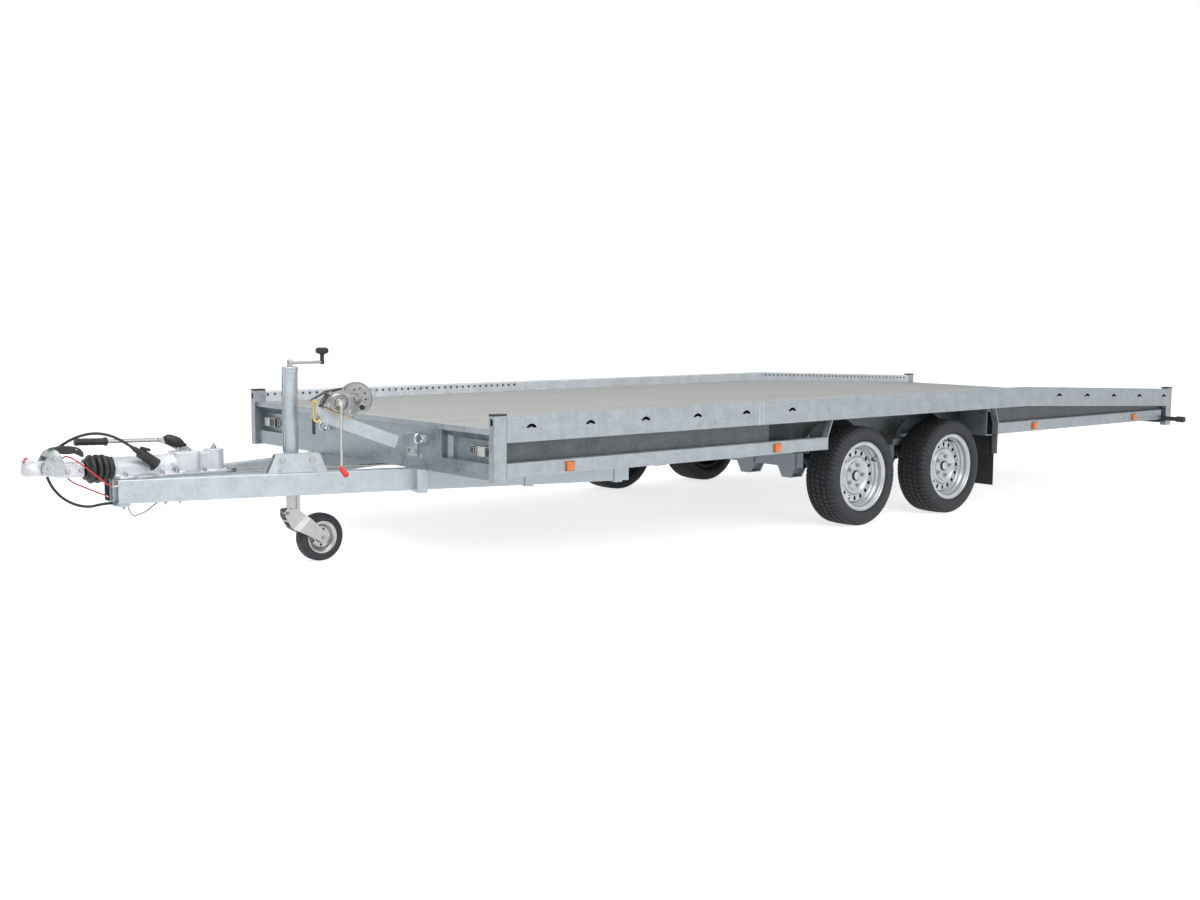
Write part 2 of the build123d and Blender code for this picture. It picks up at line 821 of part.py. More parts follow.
def jockey_clamp():
    frame = beam_frame(beam_top)
    s = along_beam(clamp_y)
    corners = [(s - clamp_foot / 2, 0.0), (s + clamp_foot / 2, 0.0),
               (s + clamp_head / 2, clamp_height), (s - clamp_head / 2, clamp_height)]
    face = Plane.XZ * Polygon(*corners, align=None)
    outer = Pos(0, clamp_offset + clamp_plate, 0) * extrude(face, amount=clamp_plate)
    inner = Pos(0, beam_width, 0) * extrude(face, amount=clamp_plate)
    top = clamp_height - clamp_plate
    bridge = block(s - clamp_head / 2, s + clamp_head / 2, clamp_offset + clamp_plate / 2,
                   beam_width - clamp_plate / 2, top, clamp_height)
    shapes = frame * (outer + inner + bridge)
    a = radians(beam_angle)
    dx, dy = jockey_x - beam_tip_x, jockey_y - beam_tip_y
    foot = dx * sin(a) + dy * cos(a)
    reach = dy * sin(a) - dx * cos(a)
    web = frame * block(foot - web_half, foot + web_half, beam_width - clamp_plate, reach,
                        0.0, collar_above)
    x, y = jockey_x, jockey_y
    low, high = beam_top - collar_below, beam_top + collar_above
    collar = rod((x, y, low), (x, y, high), jockey_tube_radius + collar_wall)
    return shapes + web + collar - rod((x, y, 0), (x, y, rail_top), jockey_tube_radius)


jockey_tube_bottom = beam_top - beam_height + 3.0
tube_cap = 12.0


def jockey_tube():
    x, y = jockey_x, jockey_y
    tube = rod((x, y, jockey_tube_bottom), (x, y, jockey_tube_top), jockey_tube_radius)
    return tube - rod((x, y, jockey_tube_bottom), (x, y, jockey_tube_top - tube_cap),
                      inner_tube_radius + shaft_clearance)


jockey_crank_length = 160.0
jockey_hub_radius = 11.0
jockey_hub_height = 33.0
jockey_arm_radius = 7.0
knob_stem_radius = 10.0
knob_stem_height = 38.0
knob_radius = 26.0
knob_height = 26.0


def jockey_crank():
    x, y, z = jockey_x, jockey_y, jockey_tube_top
    end = y + jockey_crank_length
    arm_z = z + jockey_hub_height - jockey_hub_radius
    hub = rod((x, y, z), (x, y, z + jockey_hub_height), jockey_hub_radius)
    arm = rod((x, y, arm_z), (x, end, arm_z), jockey_arm_radius)
    stem_top = arm_z + knob_stem_height
    stem = rod((x, end, arm_z - jockey_arm_radius), (x, end, stem_top), knob_stem_radius)
    knob = rod((x, end, stem_top), (x, end, stem_top + knob_height), knob_radius)
    knob = fillet(knob.edges().filter_by(GeomType.CIRCLE), knob_radius / 4)
    return hub + arm + stem + knob


# Jockey fork: two bent cheeks that flank the inner tube and spread round the wheel
fork_plate = 4.0
fork_top = 248.0
fork_bend = 62.0
fork_spread = 22.0
fork_lobe = 44.0
fork_reach = 210.0
fork_pin_radius = 8.0
rail_lug = (14.0, 40.0)


def fork_cheek():
    """Left cheek: a sheet bent outwards half way, cut to its side outline."""
    wheel_r = jockey_wheel_diameter / 2
    inner = inner_tube_radius - 1.0
    outer = jockey_wheel_width / 2 + side_gap
    t = fork_plate
    profile = [
        (-fork_reach, inner), (fork_bend, inner), (fork_bend + fork_spread, outer),
        (fork_reach, outer), (fork_reach, outer + t), (fork_bend + fork_spread, outer + t),
        (fork_bend, inner + t), (-fork_reach, inner + t),
    ]
    drop = fork_top - wheel_r
    a = atan2(-drop, jockey_trail)
    place = Plane(origin=(jockey_x, jockey_y, fork_top), x_dir=(0, cos(a), sin(a)),
                  z_dir=(0, sin(a), -cos(a)))
    sheet = place * Polygon(*[(s, -x) for s, x in profile], align=None)
    sheet = extrude(sheet, amount=fork_reach, both=True)
    y, end = jockey_y, jockey_y + jockey_trail
    outline = [
        (y - fork_lobe, fork_top - 6.0), (y - fork_lobe + 10.0, fork_top),
        (y + 18.0, fork_top - 2.0), (y + 44.0, fork_top - 26.0),
        (y + 78.0, fork_top - 54.0), (end + 12.0, wheel_r + 18.0),
        (end + 20.0, wheel_r), (end + 10.0, wheel_r - 17.0), (end - 12.0, wheel_r - 18.0),
        (y + 50.0, wheel_r + 20.0), (y - 10.0, fork_top - 92.0), (y - fork_lobe, fork_top - 34.0),
    ]
    return sheet & side_plate(outline, jockey_x - fork_reach, jockey_x + fork_reach, 3.0)


def jockey_fork():
    x, y = jockey_x, jockey_y
    wheel_r = jockey_wheel_diameter / 2
    tube = rod((x, y, fork_top - 62.0), (x, y, beam_top + 200.0), inner_tube_radius)
    left = fork_cheek()
    right = Pos(2 * jockey_x, 0, 0) * mirrored(left)
    crown = block(x - inner_tube_radius - 1.0, x + inner_tube_radius + 1.0,
                  y - fork_lobe + 8.0, y + 30.0, fork_top - 56.0, fork_top - 50.0)
    half = jockey_wheel_width / 2 + side_gap + fork_plate + 6.0
    axle_y = y + jockey_trail
    axle = rod((x - half, axle_y, wheel_r), (x + half, axle_y, wheel_r), fork_pin_radius)
    pin_half = inner_tube_radius + fork_plate + 4.0
    pin = rod((x - pin_half, y - fork_lobe + 12.0, fork_top - 20.0),
              (x + pin_half, y - fork_lobe + 12.0, fork_top - 20.0), 6.0)
    wide, tall = rail_lug
    lug = block(x - wide / 2, x + wide / 2, y + inner_tube_radius - 4.0,
                y + inner_tube_radius + wide, fork_top - 30.0,
                jockey_tube_bottom - side_gap)
    return tube + left + right + crown + axle + pin + lug


jockey_wheel_y = jockey_y + jockey_trail
jockey_rim_radius = 70.0
jockey_hub = (8.0 + shaft_clearance, 20.0)


def jockey_rim():
    w = jockey_wheel_width / 2
    bore, hub = jockey_hub
    r = jockey_rim_radius
    outline = [
        (-w, bore), (w, bore), (w, hub), (6.0, hub + 6.0), (6.0, r - 18.0),
        (w - 10.0, r - 8.0), (w - 5.0, r + 3.0), (w - 8.0, r + 3.0), (w - 12.0, r),
        (12.0 - w, r), (8.0 - w, r + 3.0), (5.0 - w, r + 3.0), (10.0 - w, r - 8.0),
        (-6.0, r - 18.0), (-6.0, hub + 6.0), (-w, hub),
    ]
    return Pos(jockey_x, jockey_wheel_y, jockey_wheel_diameter / 2) * turned(outline)


def jockey_tyre():
    w = jockey_wheel_width / 2 - 2.0
    r = jockey_wheel_diameter / 2
    seat = jockey_rim_radius + seat_gap
    rim_lip = jockey_rim_radius + 3.0 + seat_gap
    outline = [
        (10.0 - w + seat_gap, seat), (w - 10.0 - seat_gap, seat), (w - 6.0, rim_lip),
        (w, rim_lip + 4.0), (w, r - 14.0), (w - 5.0, r - 5.0), (w - 14.0, r),
        (14.0 - w, r), (5.0 - w, r - 5.0), (-w, r - 14.0), (-w, rim_lip + 4.0),
        (6.0 - w, rim_lip),
    ]
    return Pos(jockey_x, jockey_wheel_y, r) * turned(outline)


# Winch: bent arm on the front panel, side frame, drum, strap with its hook, and crank
def winch_point(s, out, up):
    """Point s along the winch arm, out sideways and up from the arm's middle."""
    a, b = radians(winch_arm_plan), radians(winch_arm_slope)
    along = Vector(-sin(a) * cos(b), -cos(a) * cos(b), sin(b))
    side = Vector(cos(a), -sin(a), 0)
    rise = Vector(sin(a) * sin(b), cos(a) * sin(b), cos(b))
    elbow = Vector(winch_arm_x, winch_elbow_y, winch_arm_z)
    return elbow + along * s + side * out + rise * up


winch_side = winch_point(0, 1, 0) - winch_point(0, 0, 0)
drum_s = 232.0
drum_up = 117.0
shaft_s = 303.0
shaft_up = 75.0
drum_half = 34.0
drum_core = 26.0
drum_pin = 10.0
gear_thick = 18.0
far_flange = 4.0
frame_plate = 4.0
plate_gap = 6.0
frame_half = drum_half + plate_gap
cover_thick = 12.0
cover_radius = 38.0


def winch_box(s0, s1, out0, out1, up0, up1):
    """Rectangular solid in the frame of the winch arm."""
    origin = winch_point(0, 0, 0)
    along = winch_point(1, 0, 0) - origin
    rise = winch_point(0, 0, 1) - origin
    frame = Plane(origin=origin, x_dir=along, z_dir=rise)
    return frame * block(s0, s1, -out1, -out0, up0, up1)


def winch_plate(outline, out0, out1, corner):
    """Plate with an outline of (s, up) points beside the winch arm."""
    along = winch_point(1, 0, 0) - winch_point(0, 0, 0)
    face = fillet(Polygon(*outline, align=None).vertices(), corner)
    place = Plane(origin=winch_point(0, out0, 0), x_dir=along, z_dir=-winch_side)
    return extrude(place * face, amount=out1 - out0, dir=tuple(winch_side))


def winch_rod(s, up, out0, out1, radius):
    """Round bar across the winch arm."""
    return rod(winch_point(s, out0, up), winch_point(s, out1, up), radius)


def winch_arm():
    w, h = winch_tube_width / 2, winch_tube_height / 2
    stub = block(winch_arm_x - w, winch_arm_x + w, winch_elbow_y, panel_face_y,
                 winch_arm_z - h, winch_arm_z + h)
    arm = winch_box(-h / 2, winch_arm_length, -w, w, -h, h)
    foot = block(winch_arm_x - 2 * w, winch_arm_x + 2 * w, panel_face_y - 6.0, panel_face_y,
                 winch_arm_z - 2.6 * h, winch_arm_z + 1.2 * h)
    return stub + arm + foot


def winch_frame():
    h = winch_tube_height / 2
    t = frame_plate
    base = winch_box(216.0, 356.0, -frame_half - t, frame_half + t, h, h + t)
    outline = [
        (356.0, h), (356.0, 62.0), (344.0, 104.0), (312.0, 128.0), (250.0, 143.0),
        (222.0, 139.0), (209.0, 117.0), (216.0, h),
    ]
    frame = base
    for out in (-frame_half - t, frame_half):
        frame += winch_plate(outline, out, out + t, 5.0)
    cover = [
        (344.0, 62.0), (338.0, 96.0), (312.0, 116.0), (284.0, 110.0), (232.0, 62.0),
        (228.0, 44.0), (240.0, h + 8.0), (338.0, h + 8.0),
    ]
    near = frame_half + t
    frame += winch_plate(cover, near - 1.0, near + cover_thick, 6.0)
    frame += winch_rod(shaft_s, shaft_up, near - 1.0, near + cover_thick + 6.0, cover_radius)
    frame += winch_rod(350.0, 100.0, -frame_half, frame_half, 5.0)
    for s, up, radius in ((drum_s, drum_up, drum_pin), (shaft_s, shaft_up, crank_radius)):
        frame -= winch_rod(s, up, -2 * frame_half, 2 * frame_half, radius + shaft_clearance)
    return frame


def winch_drum():
    shape = winch_rod(drum_s, drum_up, -drum_half, drum_half, drum_core)
    pin_half = frame_half + frame_plate + 4.0
    shape += winch_rod(drum_s, drum_up, -pin_half, pin_half, drum_pin)
    gear = winch_rod(drum_s, drum_up, drum_half - gear_thick, drum_half, drum_flange_radius)
    window = winch_rod(drum_s, drum_up, drum_half - gear_thick, drum_half,
                       drum_flange_radius - 14.0)
    ring = winch_rod(drum_s, drum_up, drum_half - gear_thick, drum_half,
                     drum_flange_radius - 40.0)
    sector = winch_box(drum_s - 60.0, drum_s - 22.0, 0, drum_half + 1.0,
                       drum_up - 44.0, drum_up - 8.0)
    gear -= (window - ring) & sector
    shape += gear
    shape += winch_rod(drum_s, drum_up, -drum_half, -drum_half + far_flange,
                       drum_flange_radius - 12.0)
    coil = winch_rod(drum_s, drum_up, -drum_half + far_flange, drum_half - gear_thick,
                     strap_coil)
    return shape + coil


strap_coil = 50.0
strap_width = 40.0
strap_thick = 3.0
roller_s = 350.0
roller_up = 100.0
roller_radius = 5.0
strap_out = (-drum_half + far_flange + drum_half - gear_thick) / 2
hook_eye_s = 398.0
hook_eye_up = 40.0


def tangent(first, first_radius, second, second_radius):
    """Ends of the line that touches two circles on their upper side, and its normal."""
    run, rise = second[0] - first[0], second[1] - first[1]
    a = atan2(rise, run) + acos((first_radius - second_radius) / hypot(run, rise))
    normal = (cos(a), sin(a))
    ends = [(centre[0] + radius * normal[0], centre[1] + radius * normal[1])
            for centre, radius in ((first, first_radius), (second, second_radius))]
    return ends, normal


def winch_strap():
    """Webbing from the top of the coil over the front roller and down to the hook's eye."""
    coil, roller, eye = (drum_s, drum_up), (roller_s, roller_up), (hook_eye_s, hook_eye_up)
    turn = roller_radius + seat_gap
    upper, upper_normal = tangent(coil, strap_coil + seat_gap, roller, turn)
    lower, lower_normal = tangent(roller, turn, eye, hook_bar + seat_gap)
    inner = upper + lower
    normals = [upper_normal] * 2 + [lower_normal] * 2
    outer = [(s + strap_thick * n[0], up + strap_thick * n[1])
             for (s, up), n in zip(inner, normals)]
    along = winch_point(1, 0, 0) - winch_point(0, 0, 0)
    place = Plane(origin=winch_point(0, strap_out - strap_width / 2, 0), x_dir=along,
                  z_dir=-winch_side)
    face = place * Polygon(*(inner + outer[::-1]), align=None)
    return extrude(face, amount=strap_width, dir=tuple(winch_side))


hook_bar = 6.0
hook_points = ((398.0, 40.0), (392.0, 8.0), (378.0, -22.0), (366.0, -36.0), (354.0, -30.0),
               (354.0, -14.0))


def winch_hook():
    """Forged hook that hangs from the strap's end."""
    points = [winch_point(s, strap_out + strap_width, up) for s, up in hook_points]
    hook = rod(points[0], points[1], hook_bar)
    for start, end in zip(points[1:], points[2:]):
        hook += rod(start, end, hook_bar)
    for point in points[1:-1]:
        hook += Pos(*point) * Sphere(hook_bar)
    eye = winch_rod(hook_eye_s, hook_eye_up, strap_out - strap_width / 2,
                    strap_out + strap_width + hook_bar, hook_bar)
    return hook + eye


crank_out = 84.0
crank_radius = 8.0
crank_hub = 13.0
crank_grip_radius = 13.0
crank_grip_reach = (72.0, 32.0)


def winch_crank():
    top = winch_point(shaft_s, crank_out, shaft_up)
    bottom = top - Vector(0, 0, crank_length)
    pin = rod(winch_point(shaft_s, -frame_half - 2 * frame_plate, shaft_up), top, crank_radius)
    hub = rod(top - winch_side * crank_radius, top + winch_side * crank_radius, crank_hub)
    arm = rod(top, bottom, crank_radius - 1.0)
    out, fall = crank_grip_reach
    grip_end = bottom + winch_side * out - Vector(0, 0, fall)
    grip = rod(bottom - winch_side * 3.0, grip_end, crank_grip_radius)
    return pin + hub + arm + grip


# Axles: tube beams in saddles, trailing arms that carry the wheel hubs
backplate_radius = 125.0
stub_radius = 20.0
axle_rail_width = 60.0
axle_wall = 5.0
arm_mount = 30.0
arm_x = arch_x - arch_sheet - arm_mount
saddle_xs = (390.0, 690.0)
saddle_wall = 6.0
saddle_top = 62.0
saddle_low = 30.0
saddle_bottom = 240.0


def axle_beam(y):
    half = axle_tube / 2
    t = axle_wall
    beam = block(-arm_x, arm_x, y - half, y + half, axle_tube_z - half, axle_tube_z + half)
    beam -= block(-arm_x, arm_x, y - half + t, y + half - t,
                  axle_tube_z - half + t, axle_tube_z + half - t)
    return beam


def axle_saddle(x, y):
    """Folded plate that holds the axle tube up to the cross member above it."""
    half = axle_tube / 2
    w = saddle_wall
    knee = axle_tube_z - half
    outline = [
        (x - saddle_top, beam_top), (x + saddle_top, beam_top), (x + saddle_top, knee),
        (x + saddle_low, saddle_bottom), (x - saddle_low, saddle_bottom),
        (x - saddle_top, knee),
    ]
    shape = cross_plate(outline, y - half - w, y + half + w)
    shape -= block(x - 2 * saddle_top, x + 2 * saddle_top, y - half, y + half,
                   knee, beam_top)
    return shape - block(x - 2 * saddle_top, x + 2 * saddle_top, y - half + w, y + half - w,
                         saddle_bottom + w, knee - w)


def axle_rails():
    """Rails along the axle tubes that carry the cross members, and the saddles."""
    x1 = arch_x - arch_sheet
    low = axle_tube_z + axle_tube / 2
    y0 = deep_ys[3] - member_width / 2
    y1 = deep_ys[5] + member_width / 2
    rail = block(x1 - axle_rail_width, x1, y0, y1, low, beam_top)
    rail -= block(x1 - axle_rail_width + rail_wall, x1 - rail_wall, y0, y1,
                  low + rail_wall, beam_top - rail_wall)
    saddles = [axle_saddle(x, y) for x in saddle_xs for y in axle_tube_ys]
    return both_sides(rail, *saddles)


swing_width = 26.0
swing_half_height = 26.0
hub_plate = 24.0
backplate_thick = 6.0
stub_reach = 25.0


def swing_arm(y):
    tube_y = y - arm_length
    x0 = arm_x
    boss = rod((x0, tube_y, axle_tube_z), (x0 + arm_mount - 2.0, tube_y, axle_tube_z),
               axle_tube / 2 - 2.0)
    a = atan2(-arm_rise, arm_length)
    length = arm_length / cos(a)
    arm = Plane(origin=(x0 + 2.0, tube_y, axle_tube_z), x_dir=(0, cos(a), sin(a)),
                z_dir=(1, 0, 0)) * block(0, length, -swing_half_height, swing_half_height,
                                         0, swing_width)
    hub_x = x0 + swing_width - backplate_thick
    plate_x = hub_x + hub_plate
    plate = rod((hub_x, y, tyre_radius), (plate_x, y, tyre_radius), backplate_radius / 2)
    plate += rod((plate_x, y, tyre_radius), (plate_x + backplate_thick, y, tyre_radius),
                 backplate_radius)
    stub = rod((plate_x, y, tyre_radius), (wheel_x + stub_reach, y, tyre_radius), stub_radius)
    return boss + arm + plate + stub


# Brake linkage: a rod from the overrun housing to a balance bar on the front axle
linkage_radius = 5.0
linkage_z = 352.0
yoke_width = 240.0
yoke_bar = 30.0


def brake_linkage():
    """Pull rod along the middle, with a yoke in front of the front axle tube."""
    yoke_y = axle_tube_ys[0] - 2 * axle_tube
    lug = block(-yoke_bar / 2, yoke_bar / 2, housing_rear_y, housing_rear_y + yoke_bar,
                beam_top - yoke_bar / 3, beam_top + yoke_bar / 3)
    pull = rod((0, housing_rear_y + yoke_bar / 2, beam_top), (0, beam_end_y, linkage_z),
               linkage_radius)
    pull += lug
    pull += Pos(0, beam_end_y, linkage_z) * Sphere(linkage_radius)
    pull += rod((0, beam_end_y, linkage_z), (0, yoke_y, linkage_z), linkage_radius)
    yoke = block(-yoke_width / 2, yoke_width / 2, yoke_y, yoke_y + linkage_radius,
                 linkage_z - yoke_bar / 2, linkage_z + yoke_bar / 2)
    shape = pull + yoke
    for side in (-1, 1):
        x = side * yoke_width / 2 * 0.8
        shape += rod((x, yoke_y, linkage_z), (x, axle_tube_ys[0] - axle_tube / 2, linkage_z),
                     linkage_radius)
    return shape


# Tip bracket under the drawbar's point: cable clip and the bent wire that parks the plug
def tip_bracket():
    low = beam_top - beam_height
    wire = bent_bar([(48.0, -1142.0, low), (48.0, -1136.0, low - 34.0),
                     (46.0, -1116.0, low - 62.0), (46.0, -1060.0, low - 44.0),
                     (48.0, -1000.0, low)], 4.0, [12.0, 16.0, 20.0])
    foot = block(22.0, 66.0, -1180.0, -1136.0, low - 14.0, low)
    nose = block(-12.0, 22.0, beam_tip_y + 2.0, -1150.0, low - 14.0, low - 8.0)
    clip = block(-11.0, 11.0, beam_tip_y + 2.0, beam_tip_y + 22.0, low - 8.0, low + 8.0)
    clip -= rod((0, -1300.0, cable_exit[2]), (0, -1100.0, cable_exit[2]),
                cable_diameter / 2)
    return wire + foot + nose + clip


# Electric cable: from the clip at the drawbar's point, under and behind the head,
# over the bellows to its plug
cable_diameter = 10.0
cable_exit = (0.0, beam_tip_y + 2.0, 312.0)
cable_route = [
    cable_exit,
    (0.0, -1232.0, 312.0),
    (-4.0, -1282.0, 302.0),
    (-14.0, -1336.0, 314.0),
    (-30.0, -1384.0, 344.0),
    (-46.0, -1418.0, 388.0),
    (-60.0, -1436.0, 438.0),
    (-67.0, -1432.0, 490.0),
    (-60.0, -1404.0, 536.0),
    (-44.0, -1360.0, 572.0),
    (-24.0, -1310.0, 598.0),
    (0.0, -1256.0, 609.0),
    (30.0, -1204.0, 600.0),
    (55.5, -1157.0, 573.0),
    (60.0, -1117.0, 543.0),
]
plug_length = 134.0
plug_radius = 22.0
plug_neck = 13.0
plug_neck_length = 28.0


def bend_radii(route):
    """Largest arc at each corner of a route that its two runs allow."""
    radii = []
    for before, corner, after in zip(route, route[1:], route[2:]):
        first = Vector(*corner) - Vector(*before)
        second = Vector(*after) - Vector(*corner)
        turn = radians(first.get_angle(second))
        radii.append(0.45 * min(first.length, second.length) / tan(turn / 2))
    return radii


def cord_tube(route, diameter, name):
    radii = bend_radii(route)
    tube = bent_bar(route, diameter / 2, radii)
    path = FilletPolyline(*route, radius=radii)
    section = tube.volume / (path.length * 3.14159265 * diameter ** 2 / 4)
    print(name, "length", round(path.length), "volume against section", round(section, 4),
          "radii", [round(r) for r in radii])
    return tube


def cable_plug():
    start = Vector(*cable_route[-1])
    along = (start - Vector(*cable_route[-2])).normalized()
    end = start + along * plug_length
    neck_end = start + along * plug_neck_length
    plug = rod(start, neck_end, plug_neck) + rod(neck_end, end, plug_radius)
    flap = rod(neck_end + along * 12.0, neck_end + along * 26.0, plug_radius + 4.0)
    return plug + flap


# Breakaway cable: red, from the near beam's end over and round the neck to the clip
breakaway_diameter = 4.0
breakaway_route = [
    (72.0, beam_tip_y, 390.0),
    (72.0, -1222.0, 390.0),
    (74.0, -1260.0, 422.0),
    (74.0, -1304.0, 460.0),
    (62.0, -1346.0, 498.0),
    (30.0, -1372.0, 520.0),
    (-14.0, -1382.0, 518.0),
    (-48.0, -1378.0, 492.0),
    (-56.0, -1368.0, 450.0),
    (-40.0, -1350.0, 414.0),
    (-8.0, -1318.0, 394.0),
    (8.0, -1272.0, 372.0),
    (8.0, -1226.0, 350.0),
    (8.0, beam_tip_y + 2.0, 337.0),
]


# Put the pieces together, with the origin under the middle of the whole trailer
middle_y = (coupling_tip_y + bed_length) / 2


def save(name, shapes):
    """Write one node, moved into the frame with its origin under the middle."""
    if not isinstance(shapes, (list, tuple)):
        shapes = [shapes]
    moved = []
    for shape in shapes:
        moved += (Pos(0, -middle_y, 0) * shape).solids()
    body = moved[0] if len(moved) == 1 else Compound(children=moved)
    export_step(body, "parts/" + name + ".step")


# Road wheels: steel rim with its hub and drum, and the tyre
hole_count = 16
wheel_hole_radius = 121.0
wheel_hole_size = (9.0, 12.0)
rim_sheet = 4.0
dish = 43.0
drum_radius = 112.0
cap_radius = 30.0


def rim():
    """Rim, disc, hub and brake drum in one, about the origin, outer face at +X."""
    w = rim_width / 2
    r = rim_radius
    flange = r + flange_height
    t = rim_sheet
    bore = stub_radius + shaft_clearance
    shell = [
        (-w - 9.0, flange), (-w - 9.0, flange - t), (-w - t, flange - 6.0), (-w - t, r - t),
        (-w + 25.0, r - t), (-w + 40.0, r - 22.0), (w - 45.0, r - 22.0), (w - 25.0, r - t),
        (w + t, r - t), (w + t, flange - 6.0), (w + 9.0, flange - t), (w + 9.0, flange),
        (w, flange), (w, r), (w - 27.0, r), (w - 47.0, r - 18.0), (-w + 42.0, r - 18.0),
        (-w + 27.0, r), (-w, r), (-w, flange),
    ]
    d = w - dish
    disc = [
        (d - 12.0, r - 22.0), (d, r - 26.0), (d + 1.0, 105.0), (d + 12.0, 95.0),
        (d + 12.0, 85.0), (d + 2.0, 70.0), (d, bore), (d - t, bore), (d - t, 74.0),
        (d + 12.0 - t, 87.0), (d + 12.0 - t, 93.0), (d - t, 103.0),
        (d - t, r - 28.0), (d - 18.0, r - 22.0),
    ]
    drum_x0 = arm_x + swing_width + hub_plate + 2.0 - wheel_x
    drum = [
        (drum_x0, drum_radius), (w - 66.0, drum_radius), (w - 62.0, 70.0), (d - t, 70.0),
        (d - t, bore), (drum_x0 + 25.0, bore), (drum_x0 + 25.0, drum_radius - 6.0),
        (drum_x0, drum_radius - 6.0),
    ]
    cap = rod((d - t, 0, 0), (d + 16.0, 0, 0), cap_radius)
    cap -= rod((d - 2 * t, 0, 0), (stub_reach + 4.0, 0, 0), stub_radius + 4.0)
    shape = turned(shell) + turned(disc) + turned(drum) + cap
    wide, tall = wheel_hole_size
    hole = Plane(origin=(d - 4 * t, 0, wheel_hole_radius), z_dir=(1, 0, 0)) * extrude(
        Ellipse(tall, wide), amount=8 * t)
    holes = [Rot(X=360.0 / hole_count * i) * hole for i in range(hole_count)]
    return shape.cut(*holes)


def tyre():
    w = tyre_width / 2
    r0 = rim_radius + seat_gap
    r = tyre_radius
    flange = rim_radius + flange_height
    bead = rim_width / 2 - seat_gap
    outline = [
        (-bead, r0), (-bead, flange + 2.0), (-w + 4.0, flange + 14.0), (-w, flange + 32.0),
        (-w + 3.0, r - 22.0), (-w + 12.0, r - 6.0), (-w + 26.0, r), (w - 26.0, r),
        (w - 12.0, r - 6.0), (w - 3.0, r - 22.0), (w, flange + 32.0),
        (w - 4.0, flange + 14.0), (bead, flange + 2.0), (bead, r0), (bead - 20.0, r0),
        (bead - 8.0, flange + 4.0), (w - 14.0, r - 24.0), (-w + 14.0, r - 24.0),
        (-bead + 8.0, flange + 4.0), (-bead + 20.0, r0),
    ]
    return turned(outline)


os.makedirs("parts", exist_ok=True)

save("deck_front", deck_front())
save("deck_rear", deck_rear())
rail_front = side_rail(post_depth, kink_y, hole_margin, front_hole_end, front_slot_ys)
rail_rear = side_rail(kink_y, bed_length - post_depth, kink_y + kink_hole_margin,
                      bed_length - hole_margin, rear_slot_ys)
save("side_rail_left_front", rail_front)
save("side_rail_right_front", mirrored(rail_front))
save("side_rail_left_rear", rail_rear)
save("side_rail_right_rear", mirrored(rail_rear))
save("lower_rails", lower_rails())
save("side_webs", both_sides(side_web()))
save("wheel_arches", both_sides(wheel_arch()))
save("corner_posts", corner_posts())
save("front_panel", front_panel())
save("front_lamps", front_lamps())
save("lashing_eyes", lashing_eyes())
save("tail_beam", tail_beam())
save("rear_lamps", both_sides(rear_lamp(rear_lamp_depth)))
save("cross_members", cross_members())
save("ramps", ramps())
save("ramp_guides", ramp_guides())
save("mudflaps", mudflaps())
save("side_markers", side_markers())
save("outline_lamps", outline_lamps())
save("drawbar_left", drawbar_beam())
save("drawbar_right", mirrored(drawbar_beam()))
save("drawbar_clamps", drawbar_clamps() + [tip_bracket()])
save("coupling_housing", coupling_housing())
save("coupling_bellows", bellows())
save("coupling_head", coupling_head())
save("coupling_handle", coupling_handle())
save("handbrake_lever", handbrake_lever())
save("jockey_clamp", jockey_clamp())
save("jockey_tube", jockey_tube())
save("jockey_crank", jockey_crank())
save("jockey_fork", jockey_fork())
save("jockey_rim", jockey_rim())
save("jockey_tyre", jockey_tyre())
save("winch_arm", winch_arm())
save("winch_frame", winch_frame())
save("winch_drum", winch_drum())
save("winch_strap", winch_strap())
save("winch_hook", winch_hook())
save("winch_crank", winch_crank())
save("axle_rails", axle_rails())
save("axle_beams", [axle_beam(y) for y in axle_tube_ys])
save("swing_arms", both_sides(*[swing_arm(y) for y in axle_ys]))
save("brake_linkage", brake_linkage())
save("electric_cable", cord_tube(cable_route, cable_diameter, "electric cable"))
save("cable_plug", cable_plug())
save("breakaway_cable", cord_tube(breakaway_route, breakaway_diameter, "breakaway cable"))
for place, y in zip(("front", "rear"), axle_ys):
    for side, flip in (("left", False), ("right", True)):
        for name, shape in (("rim", rim()), ("tyre", tyre())):
            placed = Pos(wheel_x, y, tyre_radius) * shape
            if flip:
                placed = mirrored(placed)
            save("_".join((name, place, side)), placed)
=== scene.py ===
import bmesh
import bpy
import json
from math import atan2, cos, hypot, pi, radians, sin
from mathutils import Matrix, Vector

